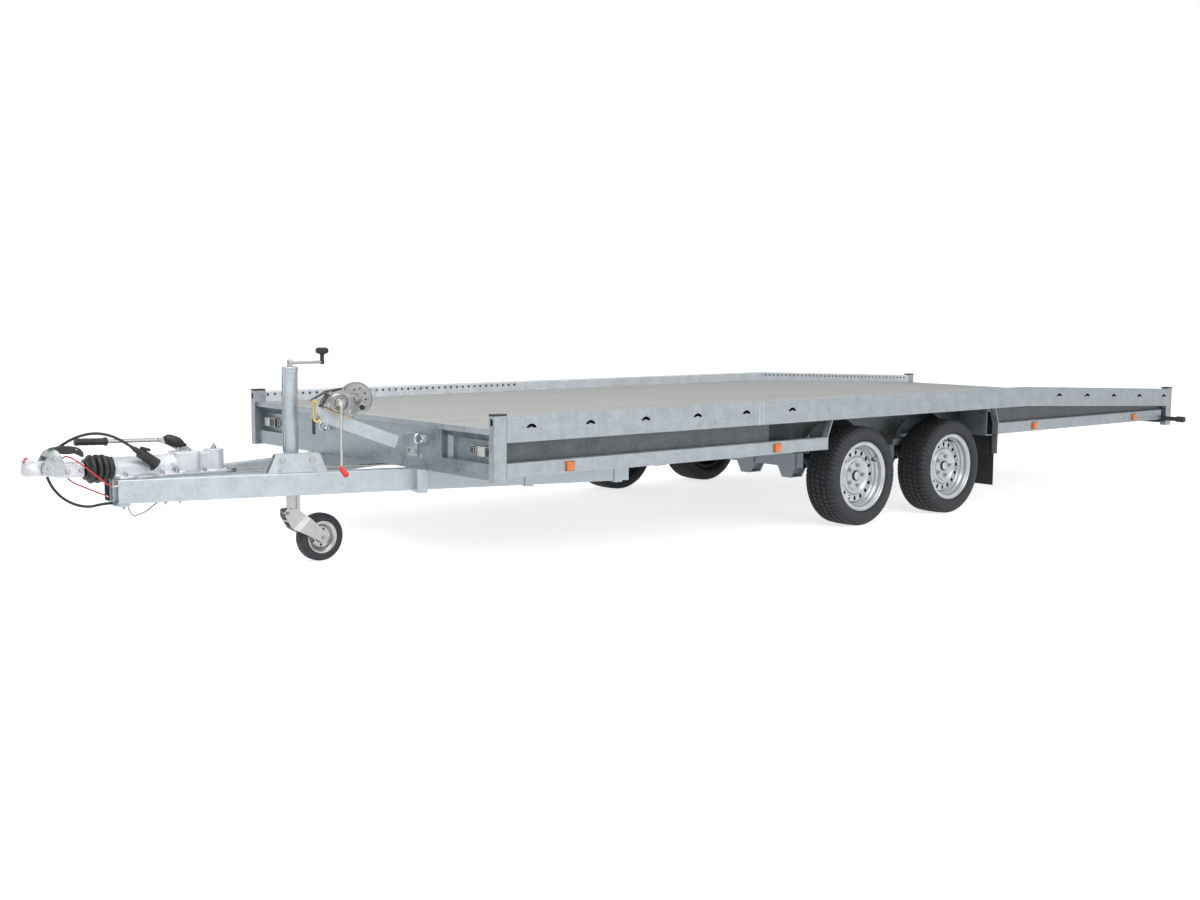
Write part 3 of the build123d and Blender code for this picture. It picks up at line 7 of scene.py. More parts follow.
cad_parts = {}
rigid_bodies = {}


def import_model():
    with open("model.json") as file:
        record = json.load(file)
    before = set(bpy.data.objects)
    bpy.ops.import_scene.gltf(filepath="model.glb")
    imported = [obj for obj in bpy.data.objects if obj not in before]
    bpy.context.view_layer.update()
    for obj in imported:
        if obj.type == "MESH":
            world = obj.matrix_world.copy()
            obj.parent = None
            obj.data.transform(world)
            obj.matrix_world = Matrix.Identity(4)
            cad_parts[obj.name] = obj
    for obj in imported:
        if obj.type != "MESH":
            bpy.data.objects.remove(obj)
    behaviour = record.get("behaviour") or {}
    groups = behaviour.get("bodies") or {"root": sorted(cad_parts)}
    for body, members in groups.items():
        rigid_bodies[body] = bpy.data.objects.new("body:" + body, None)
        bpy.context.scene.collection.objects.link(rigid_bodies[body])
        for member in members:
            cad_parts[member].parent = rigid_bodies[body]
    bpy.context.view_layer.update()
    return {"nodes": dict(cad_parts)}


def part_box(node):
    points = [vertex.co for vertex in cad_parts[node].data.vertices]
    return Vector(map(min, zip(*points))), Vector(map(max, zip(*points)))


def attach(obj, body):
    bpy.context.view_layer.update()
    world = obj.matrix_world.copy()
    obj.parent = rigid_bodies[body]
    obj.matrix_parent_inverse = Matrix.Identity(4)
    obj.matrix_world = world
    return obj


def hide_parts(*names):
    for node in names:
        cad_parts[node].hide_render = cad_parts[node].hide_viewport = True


for leftover in list(bpy.data.objects):
    bpy.data.objects.remove(leftover)
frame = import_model()


# Camera: where the photographer stood, ahead of the trailer and to its left, at
# chest height, looking back and slightly down along the near side.
azimuth, pitch, roll = radians(49.32), radians(5.81), radians(-0.43)
ahead = Vector((-sin(azimuth) * cos(pitch), cos(azimuth) * cos(pitch), -sin(pitch)))
level = Vector((cos(azimuth), sin(azimuth), 0))
below = ahead.cross(level)
right = level * cos(roll) + below * sin(roll)
down = below * cos(roll) - level * sin(roll)
camera = bpy.data.objects.new("camera", bpy.data.cameras.new("camera"))
camera.data.lens = 43.935
camera.data.sensor_width = 36.0
eye = (5.911, -5.5775, 1.165)
camera.matrix_world = Matrix.Translation(eye) @ Matrix(
    (right, -down, -ahead)).transposed().to_4x4()
bpy.context.scene.collection.objects.link(camera)
bpy.context.scene.camera = camera
bpy.context.scene.view_settings.view_transform = "Standard"


# Studio: a pale floor that keeps the soft shadow, a white surround that mirrors in
# the metal, and two large soft lamps overhead.
def colour(text):
    """Linear colour from an sRGB hex value."""
    parts = [int(text[i:i + 2], 16) / 255 for i in (1, 3, 5)]
    return [p / 12.92 if p <= 0.04045 else ((p + 0.055) / 1.055) ** 2.4 for p in parts] + [1.0]


def add_node(tree, kind, inputs=None, **settings):
    """Add a node; an input that is a socket becomes a link, any other a value."""
    node = tree.nodes.new(kind)
    for name, value in settings.items():
        setattr(node, name, value)
    for name, value in (inputs or {}).items():
        if isinstance(value, bpy.types.NodeSocket):
            tree.links.new(value, node.inputs[name])
        else:
            node.inputs[name].default_value = value
    return node


def new_material(name):
    """An empty node material and its tree."""
    material = bpy.data.materials.new(name)
    material.use_nodes = True
    material.node_tree.nodes.clear()
    return material, material.node_tree


def plainly_seen(tree):
    """1 for rays from the camera, a reflection or a see-through surface, else 0."""
    path = add_node(tree, "ShaderNodeLightPath")
    either = add_node(tree, "ShaderNodeMath", {0: path.outputs["Is Camera Ray"],
                                               1: path.outputs["Is Glossy Ray"]},
                      operation="MAXIMUM")
    return add_node(tree, "ShaderNodeMath", {0: either.outputs[0],
                                             1: path.outputs["Is Transmission Ray"]},
                    operation="MAXIMUM").outputs[0]


world = bpy.context.scene.world or bpy.data.worlds.new("studio")
bpy.context.scene.world = world
world.use_nodes = True
tree = world.node_tree
tree.nodes.clear()
lit = add_node(tree, "ShaderNodeBackground", {"Color": colour("#f2f6fb"), "Strength": 0.57})
seen = add_node(tree, "ShaderNodeBackground", {"Color": colour("#ffffff"), "Strength": 1.0})
mixed = add_node(tree, "ShaderNodeMixShader", {0: plainly_seen(tree),
                                               1: lit.outputs[0], 2: seen.outputs[0]})
add_node(tree, "ShaderNodeOutputWorld", {"Surface": mixed.outputs[0]})

floor_finish, tree = new_material("studio_floor")
matte = add_node(tree, "ShaderNodeBsdfDiffuse", {"Color": colour("#e4e4e4")})
glow = add_node(tree, "ShaderNodeEmission", {"Color": colour("#ffffff"), "Strength": 0.76})
plain = add_node(tree, "ShaderNodeAddShader", {0: matte.outputs[0], 1: glow.outputs[0]})
mixed = add_node(tree, "ShaderNodeMixShader", {0: plainly_seen(tree), 1: matte.outputs[0],
                                               2: plain.outputs[0]})
add_node(tree, "ShaderNodeOutputMaterial", {"Surface": mixed.outputs[0]})
floor_mesh = bpy.data.meshes.new("floor")
floor_mesh.from_pydata([(-60, -60, 0), (60, -60, 0), (60, 60, 0), (-60, 60, 0)], [],
                       [(0, 1, 2, 3)])
floor = bpy.data.objects.new("floor", floor_mesh)
bpy.context.scene.collection.objects.link(floor)
floor.data.materials.append(floor_finish)

for name, place, aim, size, power in (
        ("lamp_overhead", (2.5, -3.5, 5.5), (0, -0.5, 0.5), (7.0, 4.5), 300.0),
        ("lamp_near_side", (7.0, 1.5, 3.2), (1.0, 0.5, 0.4), (5.0, 2.5), 105.0)):
    lamp = bpy.data.lights.new(name, "AREA")
    lamp.shape = "RECTANGLE"
    lamp.size, lamp.size_y = size
    lamp.energy = power
    holder = bpy.data.objects.new(name, lamp)
    holder.location = place
    holder.rotation_euler = (Vector(aim) - Vector(place)).to_track_quat("-Z", "Y").to_euler()
    bpy.context.scene.collection.objects.link(holder)


# Steel of the frame: sheet and tube dipped in molten zinc. It dries to a satin blue
# grey with faint crystals a few millimetres across and cloudy patches between them.
def new_finish(name):
    """A new material, its tree, and the place on the piece that its patterns use."""
    material, tree = new_material(name)
    return material, tree, add_node(tree, "ShaderNodeTexCoord").outputs["Object"]


def shade_with(tree, shade, height, lift, settings):
    """The one shader of a material; a height lifts it by (strength, distance)."""
    inputs = {"Base Color": shade, **settings}
    if height:
        bump = add_node(tree, "ShaderNodeBump", {"Height": height, "Strength": lift[0],
                                                 "Distance": lift[1]})
        inputs["Normal"] = bump.outputs[0]
    shader = add_node(tree, "ShaderNodeBsdfPrincipled", inputs)
    add_node(tree, "ShaderNodeOutputMaterial", {"Surface": shader.outputs[0]})


def shades(tree, pattern, dark, light, low=0.3, high=0.7):
    """Colour between two hex values, as the pattern goes from low to high."""
    ramp = add_node(tree, "ShaderNodeValToRGB", {"Fac": pattern})
    ramp.color_ramp.elements[0].position = low
    ramp.color_ramp.elements[0].color = colour(dark)
    ramp.color_ramp.elements[1].position = high
    ramp.color_ramp.elements[1].color = colour(light)
    return ramp.outputs[0]


def galvanised(name, dark, light, roughness=0.42, metallic=0.75):
    """Zinc-dipped steel between two shades."""
    material, tree, place = new_finish(name)
    # crystals are 9 mm across, clouds 70 mm, and dull specks 2 mm
    crystal = add_node(tree, "ShaderNodeTexVoronoi", {"Vector": place, "Scale": 110.0})
    cloud = add_node(tree, "ShaderNodeTexNoise", {"Vector": place, "Scale": 14.0,
                                                  "Detail": 7.0, "Roughness": 0.62})
    speck = add_node(tree, "ShaderNodeTexNoise", {"Vector": place, "Scale": 420.0,
                                                  "Detail": 3.0})
    grey = add_node(tree, "ShaderNodeSeparateColor", {"Color": crystal.outputs["Color"]})
    blend = add_node(tree, "ShaderNodeMath", {0: grey.outputs[0], 1: 0.22,
                                              2: cloud.outputs[0]},
                     operation="MULTIPLY_ADD")
    blend = add_node(tree, "ShaderNodeMath", {0: speck.outputs[0], 1: 0.10,
                                              2: blend.outputs[0]},
                     operation="MULTIPLY_ADD")
    gloss = add_node(tree, "ShaderNodeMapRange", {"Value": blend.outputs[0], "From Min": 0.42,
                                                  "From Max": 0.9,
                                                  "To Min": roughness - 0.08,
                                                  "To Max": roughness + 0.14})
    shade_with(tree, shades(tree, blend.outputs[0], dark, light, 0.4, 0.9), blend.outputs[0],
               (0.1, 0.0006), {"Metallic": metallic, "Roughness": gloss.outputs[0]})
    return material


rail_steel = galvanised("galvanised_rail", "#8f969b", "#a9afb4")
beam_steel = galvanised("galvanised_beam", "#a4acb2", "#bdc4c9")
panel_steel = galvanised("galvanised_panel", "#808a8e", "#99a3a7", 0.3)
under_steel = galvanised("galvanised_underframe", "#8f979c", "#a9b1b6", 0.5)
# the far rails are the same steel as the near ones, painted lighter: painted light where they
# catch the lamps
painted_light_far_rail_steel = galvanised("galvanised_far_rail_painted_light", "#c0c6cb", "#d6dbdf")
# the side webs and wheel arches are painted dark: painted shade in the recess behind the rails
# and in the gap over the wheels
painted_shade_web_steel = galvanised("painted_shade_web_sheet", "#474b4d", "#606466", 0.34)

finish_of = {
    "side_rail_left_front": rail_steel, "side_rail_right_front": painted_light_far_rail_steel,
    "side_rail_left_rear": rail_steel, "side_rail_right_rear": painted_light_far_rail_steel,
    "lower_rails": rail_steel, "side_webs": painted_shade_web_steel, "wheel_arches": painted_shade_web_steel,
    "corner_posts": rail_steel, "front_panel": panel_steel, "tail_beam": panel_steel,
    "cross_members": under_steel, "ramp_guides": under_steel, "axle_rails": under_steel,
    "axle_beams": under_steel, "drawbar_left": beam_steel, "drawbar_right": beam_steel,
    "drawbar_clamps": beam_steel, "jockey_clamp": beam_steel, "jockey_tube": beam_steel,
    "winch_arm": beam_steel,
}


# Deck: grey film-faced plywood with a fine non-slip grain. It is matte, and worn in
# faint streaks along the bed where wheels run over it.
deck_finish, tree, place = new_finish("film_faced_plywood")
along = add_node(tree, "ShaderNodeMapping", {"Vector": place, "Scale": (30.0, 0.9, 30.0)})
streak = add_node(tree, "ShaderNodeTexNoise", {"Vector": along.outputs[0], "Scale": 1.0,
                                               "Detail": 6.0, "Roughness": 0.6})
# the non-slip grain is 1.5 mm, drawn at 4 mm so that it shows
grain = add_node(tree, "ShaderNodeTexVoronoi", {"Vector": place, "Scale": 250.0})
height = add_node(tree, "ShaderNodeMath", {0: grain.outputs["Distance"], 1: 0.3,
                                           2: streak.outputs[0]}, operation="MULTIPLY_ADD")
shade_with(tree, shades(tree, height.outputs[0], "#92928f", "#a9a9a6", 0.4, 0.85),
           height.outputs[0], (0.3, 0.0008), {"Roughness": 0.62})
finish_of["deck_front"] = finish_of["deck_rear"] = deck_finish


# Small steel fittings: zinc plated, brighter and yellower than the dipped frame, with
# fine marks of handling.
def plated(name, dark, light, roughness):
    """Electroplated steel between two shades, with clouds of 20 mm."""
    material, tree, place = new_finish(name)
    cloud = add_node(tree, "ShaderNodeTexNoise", {"Vector": place, "Scale": 50.0,
                                                  "Detail": 6.0, "Roughness": 0.65})
    gloss = add_node(tree, "ShaderNodeMapRange", {"Value": cloud.outputs[0], "From Min": 0.3,
                                                  "From Max": 0.7, "To Min": roughness - 0.07,
                                                  "To Max": roughness + 0.1})
    shade_with(tree, shades(tree, cloud.outputs[0], dark, light), cloud.outputs[0],
               (0.04, 0.0005), {"Metallic": 0.85, "Roughness": gloss.outputs[0]})
    return material


zinc = plated("zinc_plated_steel", "#a0a19f", "#b3b4b1", 0.28)
yellow_zinc = plated("yellow_passivated_zinc", "#b39a62", "#cdb98a", 0.35)
winch_steel = plated("satin_winch_steel", "#858688", "#9c9d9c", 0.3)
for node in ("jockey_fork", "brake_linkage"):
    finish_of[node] = zinc


# Coupling castings: cast iron painted silver-white, with the fine pebble of the sand
# mould under the paint.
def coated(name, dark, light, patch, grain, lift, settings):
    """Patches between two shades over a grain that lifts the surface, both of noise."""
    material, tree, place = new_finish(name)
    patches = add_node(tree, "ShaderNodeTexNoise", {"Vector": place, **patch})
    height = None
    if grain:
        height = add_node(tree, "ShaderNodeTexNoise", {"Vector": place, **grain}).outputs[0]
    shade_with(tree, shades(tree, patches.outputs[0], dark, light), height, lift, settings)
    return material


# patches of 55 mm, and sand of 4 mm
cast_silver = coated("silver_painted_casting", "#c6c8cc", "#d9dbde",
                     {"Scale": 18.0, "Detail": 5.0}, {"Scale": 260.0, "Detail": 2.0},
                     (0.08, 0.0008), {"Metallic": 0.35, "Roughness": 0.4})


# Black mouldings: rubber is matte and slightly dusty, the plastic is smoother with a
# fine moulded grain.
def moulded(name, dark, light, roughness, grain_mm):
    """Moulded stuff with dust in 45 mm patches and a surface grain of grain_mm."""
    return coated(name, dark, light, {"Scale": 22.0, "Detail": 6.0, "Roughness": 0.65},
                  {"Scale": 1000 / grain_mm, "Detail": 2.0}, (0.2, 0.0006),
                  {"Roughness": roughness})


rubber = moulded("moulded_rubber", "#1b1c1e", "#2a2b2e", 0.62, 2.5)
plastic = moulded("moulded_black_plastic", "#17181a", "#222326", 0.42, 1.5)
wheel_rubber = moulded("jockey_tyre_rubber", "#26282c", "#33353a", 0.66, 2.0)
chassis_paint = moulded("black_chassis_paint", "#1a1b1d", "#26282b", 0.5, 3.0)
for node in ("mudflaps", "outline_lamps"):
    finish_of[node] = rubber
finish_of["swing_arms"] = chassis_paint


# Lenses: clear, amber and red moulded plastic over ribs that spread the light. They
# are welded to their trays and shine more than the mouldings round them.
def lens(name, shade, deep):
    """Moulded lens with upright ribs, about 7 mm apart on the lamps' faces."""
    material, tree, place = new_finish(name)
    turned = add_node(tree, "ShaderNodeMapping", {"Vector": place,
                                                  "Rotation": (0, 0, radians(45))})
    rib = add_node(tree, "ShaderNodeTexWave", {"Vector": turned.outputs[0], "Scale": 60.0})
    shade_with(tree, shades(tree, rib.outputs["Fac"], deep, shade, 0.0, 1.0),
               rib.outputs["Fac"], (0.5, 0.001),
               {"Roughness": 0.16, "Coat Weight": 0.6, "Coat Roughness": 0.05})
    return material


amber_lens = lens("amber_lens", "#f28a1c", "#c8620c")
clear_lens = lens("clear_lens", "#e6e6e2", "#b9b9b5")
red_lens = lens("red_lens", "#b3151a", "#7d0a10")


# Stowed ramps: mill-finish aluminium extrusion, bright, with the fine lines that the
# die draws along its length.
ramp_finish, tree, place = new_finish("mill_finish_aluminium")
along = add_node(tree, "ShaderNodeMapping", {"Vector": place, "Scale": (400.0, 3.0, 400.0)})
line = add_node(tree, "ShaderNodeTexNoise", {"Vector": along.outputs[0], "Scale": 1.0,
                                             "Detail": 3.0})
shade_with(tree, shades(tree, line.outputs[0], "#b9bcbf", "#cfd1d4"), line.outputs[0],
           (0.15, 0.0004), {"Metallic": 0.9, "Roughness": 0.36})
finish_of["ramps"] = ramp_finish


# Wheel steel: pressed disc and rolled rim, sprayed with silver lacquer that dries
# smooth with a soft sheen.
rim_lacquer = coated("silver_wheel_lacquer", "#aeb1b4", "#c1c4c6",
                     {"Scale": 16.0, "Detail": 5.0}, {"Scale": 700.0, "Detail": 2.0},
                     (0.06, 0.0004), {"Metallic": 0.55, "Roughness": 0.32,
                                      "Coat Weight": 0.25, "Coat Roughness": 0.12})


# Tyres: black tread rubber that greys a little in the sun, with four grooves and
# slots in the shoulders. One pitch of tread is drawn and repeated round the wheel.
tyre_rubber = moulded("road_tyre_rubber", "#232427", "#303135", 0.7, 2.0)


def new_object(name, mesh, *materials):
    """Put a mesh in the scene with its materials."""
    thing = bpy.data.objects.new(name, mesh)
    bpy.context.scene.collection.objects.link(thing)
    for material in materials:
        thing.data.materials.append(material)
    return thing


def settle(thing):
    """Turn an object's modifiers into plain mesh."""
    live = thing.evaluated_get(bpy.context.evaluated_depsgraph_get())
    mesh = bpy.data.meshes.new_from_object(live)
    thing.modifiers.clear()
    thing.data = mesh
    return thing


def soften(mesh, angle=40.0):
    """Smooth shading, with edges sharper than the angle kept crisp."""
    mesh.shade_smooth()
    mesh.set_sharp_from_angle(angle=radians(angle))
    return mesh


def new_tree(name, sockets):
    """A Geometry Nodes tree with named inputs, and its two end nodes."""
    tree = bpy.data.node_groups.new(name, "GeometryNodeTree")
    tree.interface.new_socket("Geometry", in_out="OUTPUT", socket_type="NodeSocketGeometry")
    tree.interface.new_socket("Geometry", in_out="INPUT", socket_type="NodeSocketGeometry")
    for label, kind in sockets:
        tree.interface.new_socket(label, in_out="INPUT", socket_type=kind)
    return tree, add_node(tree, "NodeGroupInput"), add_node(tree, "NodeGroupOutput")


def use_tree(thing, tree, values):
    """Give an object the tree with its values, and settle it."""
    modifier = thing.modifiers.new(tree.name, "NODES")
    modifier.node_group = tree
    for item in tree.interface.items_tree:
        if item.in_out == "INPUT" and item.name in values:
            modifier[item.identifier] = values[item.name]
    return settle(thing)


def declare(thing, node=None, body="chassis"):
    """Say what a piece rides on, which node it stands for."""
    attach(thing, body)
    if node:
        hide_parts(node)
    return thing


# the ring tree turns one pitch about X, Count times, and closes the joints
ring_tree, start, end = new_tree("ring_of_pitches", [("Count", "NodeSocketInt"),
                                                     ("Material", "NodeSocketMaterial")])
count = start.outputs["Count"]
points = add_node(ring_tree, "GeometryNodePoints", {"Count": count})
placed = add_node(ring_tree, "GeometryNodeInstanceOnPoints",
                  {"Points": points.outputs[0], "Instance": start.outputs["Geometry"]})
index = add_node(ring_tree, "GeometryNodeInputIndex")
step = add_node(ring_tree, "ShaderNodeMath", {0: 2 * pi, 1: count}, operation="DIVIDE")
turn = add_node(ring_tree, "ShaderNodeMath", {0: index.outputs[0], 1: step.outputs[0]},
                operation="MULTIPLY")
spin = add_node(ring_tree, "ShaderNodeCombineXYZ", {"X": turn.outputs[0]})
turned = add_node(ring_tree, "GeometryNodeRotateInstances",
                  {"Instances": placed.outputs[0], "Rotation": spin.outputs[0],
                   "Local Space": False})
real = add_node(ring_tree, "GeometryNodeRealizeInstances", {"Geometry": turned.outputs[0]})
merged = add_node(ring_tree, "GeometryNodeMergeByDistance", {"Geometry": real.outputs[0],
                                                             "Distance": 0.00005})
shaded = add_node(ring_tree, "GeometryNodeSetMaterial",
                  {"Geometry": merged.outputs[0], "Material": start.outputs["Material"]})
ring_tree.links.new(shaded.outputs[0], end.inputs[0])

tyre_pitches, tyre_radius, half_tread = 62, 262.5, 71.5
tread_grooves = (-52.0, -18.0, 18.0, 52.0)


def tyre_side():
    """Half of the tyre's section from the crown to the rim, as (x, radius) in mm."""
    crown = [0.0, 6.0, 13.0, 14.2, 21.8, 23.0, 30.0, 38.0, 47.0, 48.2, 55.8, 57.0, 64.0, 71.5]
    half = [(x, tyre_radius - (x / half_tread) ** 2 * 2.6) for x in crown]
    return half + [(78.0, 258.0), (84.0, 254.5), (88.5, 250.0), (91.5, 244.5), (92.6, 243.6),
                   (94.2, 238.0), (96.3, 229.0), (97.4, 219.0), (97.4, 210.0), (96.0, 202.0),
                   (93.0, 195.5), (91.0, 194.6), (89.0, 190.5), (84.0, 186.0), (77.0, 184.0),
                   (75.7, 180.0), (75.7, 165.5)]


def tread_depth(x, share):
    """How deep the tread is cut at x, at a share of one pitch."""
    depth = 0.0
    if any(abs(x - groove) < 4.0 for groove in tread_grooves):
        depth = 6.5
    elif abs(x) < 48.0 and 0.4 < share < 0.62:
        depth = 5.0
    elif 57.0 < abs(x) < 93.0 and share < 0.22:
        depth = 4.5
    return depth


def tyre_pitch():
    """One pitch of the tyre, from bead to bead."""
    side = tyre_side()
    section = [(-x, r) for x, r in reversed(side[1:])] + side
    shares = (0.0, 0.05, 0.17, 0.22, 0.40, 0.44, 0.58, 0.62, 1.0)
    mesh = bmesh.new()
    rows = []
    for share in shares:
        row = []
        for x, r in section:
            # a slot's walls stand on these shares, which keep the height of the block
            block_edge = share in (0.0, 0.22, 0.40, 0.62, 1.0)
            cut = tread_depth(x, 0.9 if block_edge else share)
            slant = 0.45 * max(-1.0, min(1.0, x / 90.0))
            a = (share + slant) * 2 * pi / tyre_pitches
            row.append(mesh.verts.new((x / 1000, -(r - cut) / 1000 * sin(a),
                                       (r - cut) / 1000 * cos(a))))
        rows.append(row)
    for one, two in zip(rows, rows[1:]):
        for i in range(len(section) - 1):
            mesh.faces.new((one[i], one[i + 1], two[i + 1], two[i]))
    result = bpy.data.meshes.new("tyre")
    mesh.to_mesh(result)
    mesh.free()
    return result


wheel_places = {}
for corner in ("front_left", "front_right", "rear_left", "rear_right"):
    low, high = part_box("tyre_" + corner)
    middle = (low + high) / 2
    wheel_places[corner] = Matrix.Translation(middle) @ Matrix.Rotation(
        0 if middle.x > 0 else pi, 4, "Z")

for corner, place in wheel_places.items():
    tyre = new_object("road_tyre_" + corner, tyre_pitch())
    use_tree(tyre, ring_tree, {"Count": tyre_pitches, "Material": tyre_rubber})
    tyre.data.transform(place)
    # the bead hides inside the rim, so its open inner edge is closed with one band
    mesh = bmesh.new()
    mesh.from_mesh(tyre.data)
    open_edges = [edge for edge in mesh.edges if edge.is_boundary]
    bmesh.ops.bridge_loops(mesh, edges=open_edges)
    bmesh.ops.recalc_face_normals(mesh, faces=mesh.faces)
    mesh.to_mesh(tyre.data)
    mesh.free()
    soften(tyre.data, 32.0)
    declare(tyre, "tyre_" + corner, "wheel_" + corner)


# Road wheels: a pressed disc with sixteen oval vents welded into a rolled rim, with
# five bolts, a centre cap and a rubber valve. The brake drum is behind the vents.
origin_y = 1987.5


def at(x, y, z):
    """A place in metres, from millimetres with y counted from the front posts."""
    return Vector((x, y - origin_y, z)) / 1000


def axes_at(place, along, up=(0, 0, 1)):
    """Local axes at a place: x along, and z as near to up as it can be."""
    x, up = Vector(along).normalized(), Vector(up)
    if abs(x.dot(up)) > 0.99:
        up = Vector((0, 1, 0))
    y = up.cross(x).normalized()
    return Matrix.Translation(place) @ Matrix((x, y, x.cross(y))).transposed().to_4x4()


def turns(count, start=0.0):
    """Angles in equal steps round a circle."""
    return [2 * pi * i / count + start for i in range(count)]


def lathe(mesh, place, profile, steps=40, mark=0):
    """Turn a profile of (along, radius) millimetres about the place's x."""
    rings = []
    for along, radius in profile:
        rings.append([mesh.verts.new(place @ (Vector((along, radius * sin(a),
                                                      radius * cos(a))) / 1000))
                      for a in turns(1 if radius < 0.01 else steps)])
    for one, two in zip(rings, rings[1:]):
        for i in range(steps):
            j = (i + 1) % steps
            corners = list(dict.fromkeys((one[i % len(one)], one[j % len(one)],
                                          two[j % len(two)], two[i % len(two)])))
            if len(corners) > 2:
                mesh.faces.new(corners).material_index = mark


def closed(name, mesh):
    """Plain mesh with its faces outwards."""
    bmesh.ops.recalc_face_normals(mesh, faces=mesh.faces)
    data = bpy.data.meshes.new(name)
    mesh.to_mesh(data)
    mesh.free()
    return data


def piece(name, mesh, slot, *materials, node=None, angle=35.0, body="chassis"):
    """Make a piece of a mesh, with edges sharper than the angle kept crisp."""
    bmesh.ops.remove_doubles(mesh, verts=mesh.verts, dist=0.000004)
    thing = new_object(name, closed(name, mesh), *materials)
    soften(thing.data, angle)
    return declare(thing, node, body)


# the bolt tree puts a head on each point, turned to the point's axis and scaled
bolt_tree, start, end = new_tree("bolt_heads", [("Head", "NodeSocketObject"),
                                                ("Material", "NodeSocketMaterial")])
head = add_node(bolt_tree, "GeometryNodeObjectInfo", {"Object": start.outputs["Head"]})
axis = add_node(bolt_tree, "GeometryNodeInputNamedAttribute", {"Name": "axis"},
                data_type="FLOAT_VECTOR")
size = add_node(bolt_tree, "GeometryNodeInputNamedAttribute", {"Name": "size"},
                data_type="FLOAT")
facing = add_node(bolt_tree, "FunctionNodeAlignRotationToVector",
                  {"Vector": axis.outputs["Attribute"]}, axis="X")
placed = add_node(bolt_tree, "GeometryNodeInstanceOnPoints",
                  {"Points": start.outputs["Geometry"], "Instance": head.outputs["Geometry"],
                   "Rotation": facing.outputs[0], "Scale": size.outputs["Attribute"]})
real = add_node(bolt_tree, "GeometryNodeRealizeInstances", {"Geometry": placed.outputs[0]})
shaded = add_node(bolt_tree, "GeometryNodeSetMaterial",
                  {"Geometry": real.outputs[0], "Material": start.outputs["Material"]})
bolt_tree.links.new(shaded.outputs[0], end.inputs[0])


def fastener(name, washer, head, steps):
    """A hidden head of a 10 mm bolt: a washer profile and a head profile on its x."""
    mesh = bmesh.new()
    lathe(mesh, Matrix(), washer, 20)
    lathe(mesh, Matrix(), head, steps)
    return bpy.data.objects.new(name, soften(closed(name, mesh), 25.0))


hexagon = fastener("hexagon_head", [(-1, 0), (-1, 10.5), (1.6, 10.5), (2, 10), (2, 0)],
                   [(1.5, 0), (1.5, 9.3), (7.2, 9.3), (8.4, 8), (8.4, 0)], 6)
nut = fastener("nut_on_stud", [(-1, 0), (-1, 10.5), (1.6, 10.5), (2, 10), (2, 0)],
               [(1.5, 0), (1.5, 9.3), (9.4, 9.3), (10.2, 8.2), (10.2, 5), (17, 5), (18, 4),
                (18, 0)], 6)
dome = fastener("domed_rivet", [(-1, 0), (-1, 8), (1, 8), (3.4, 6.4), (4.8, 3.4), (5.2, 0)],
                [(0, 0), (0, 3), (5, 3), (5, 0)], 12)
cone_bolt = fastener("cone_seat_bolt", [(-3, 0), (-3, 10), (2.5, 13.5), (4, 13.2), (4, 0)],
                     [(3.5, 0), (3.5, 9.6), (15, 9.6), (17, 8.2), (17.6, 5), (17.6, 0)], 6)


def fasten(name, head, spots, body="chassis"):
    """Zinc-plated bolts of one kind, from (place, axis, size); size 1 is 10 mm."""
    data = bpy.data.meshes.new(name)
    data.from_pydata([place for place, way, scale in spots], [], [])
    data.attributes.new("axis", "FLOAT_VECTOR", "POINT")
    data.attributes.new("size", "FLOAT", "POINT")
    data.attributes["axis"].data.foreach_set("vector", [v for spot in spots for v in spot[1]])
    data.attributes["size"].data.foreach_set("value", [spot[2] for spot in spots])
    thing = use_tree(new_object(name, data), bolt_tree, {"Head": head, "Material": zinc})
    declare(thing, None, body)


vent_count, vent_radius, vent_half = 16, 121.0, (9.0, 12.0)
disc_outside = [(18, 145.5), (24, 144), (30.5, 141.5), (33, 137.5)]
disc_inside = [(34, 104.5), (37, 101.5), (42.5, 97), (44.6, 94), (45.2, 90), (44.6, 86.5),
               (42, 82), (37.5, 74.5), (35.6, 69), (35, 63), (35, 48), (35, 36), (36, 33),
               (36, 27)]


def disc_pitch():
    """One sixteenth of the disc's front face, with its vent."""
    mesh = bmesh.new()
    half = pi / vent_count
    columns = [half * (i / 4 - 1) for i in range(9)]

    def spot(x, radius, a):
        return mesh.verts.new(Vector((x, radius * sin(a), radius * cos(a))) / 1000)

    def strip(line):
        rows = [[spot(x, radius, a) for a in columns] for x, radius in line]
        for one, two in zip(rows, rows[1:]):
            for i in range(8):
                mesh.faces.new((one[i], two[i], two[i + 1], one[i + 1]))
        return rows

    top, bottom = strip(disc_outside)[-1], strip(disc_inside)[0]
    high, low = disc_outside[-1], disc_inside[0]
    heights = [high[1] + (low[1] - high[1]) * k / 4 for k in (1, 2, 3)]
    face_x = [high[0] + (low[0] - high[0]) * k / 4 for k in (1, 2, 3)]
    far = [spot(x, radius, columns[-1]) for x, radius in zip(face_x, heights)]
    near = [spot(x, radius, columns[0]) for x, radius in zip(face_x, heights)][::-1]
    ring = top + far + bottom[::-1] + near
    wide, tall = vent_half
    loops = [ring]
    # three loops dish the sheet round the vent, each narrower and deeper
    for grow, sink in ((1.14, 0.0), (1.04, 0.6), (1.0, 2.6)):
        loop = []
        for vert in ring:
            place = vert.co * 1000
            a, radius = atan2(place.y, place.z), hypot(place.y, place.z)
            phi = atan2((radius - vent_radius) / tall, vent_radius * a / wide)
            loop.append(spot(33.4 - sink, vent_radius + grow * tall * sin(phi),
                             grow * wide * cos(phi) / vent_radius))
        loops.append(loop)
    for one, two in zip(loops, loops[1:]):
        for i in range(len(one)):
            j = (i + 1) % len(one)
            mesh.faces.new((one[i], two[i], two[j], one[j]))
    bmesh.ops.remove_doubles(mesh, verts=mesh.verts, dist=0.00001)
    mesh.normal_update()
    if sum(face.normal.x for face in mesh.faces) < 0:
        bmesh.ops.reverse_faces(mesh, faces=mesh.faces)
    result = bpy.data.meshes.new("disc")
    mesh.to_mesh(result)
    mesh.free()
    return result


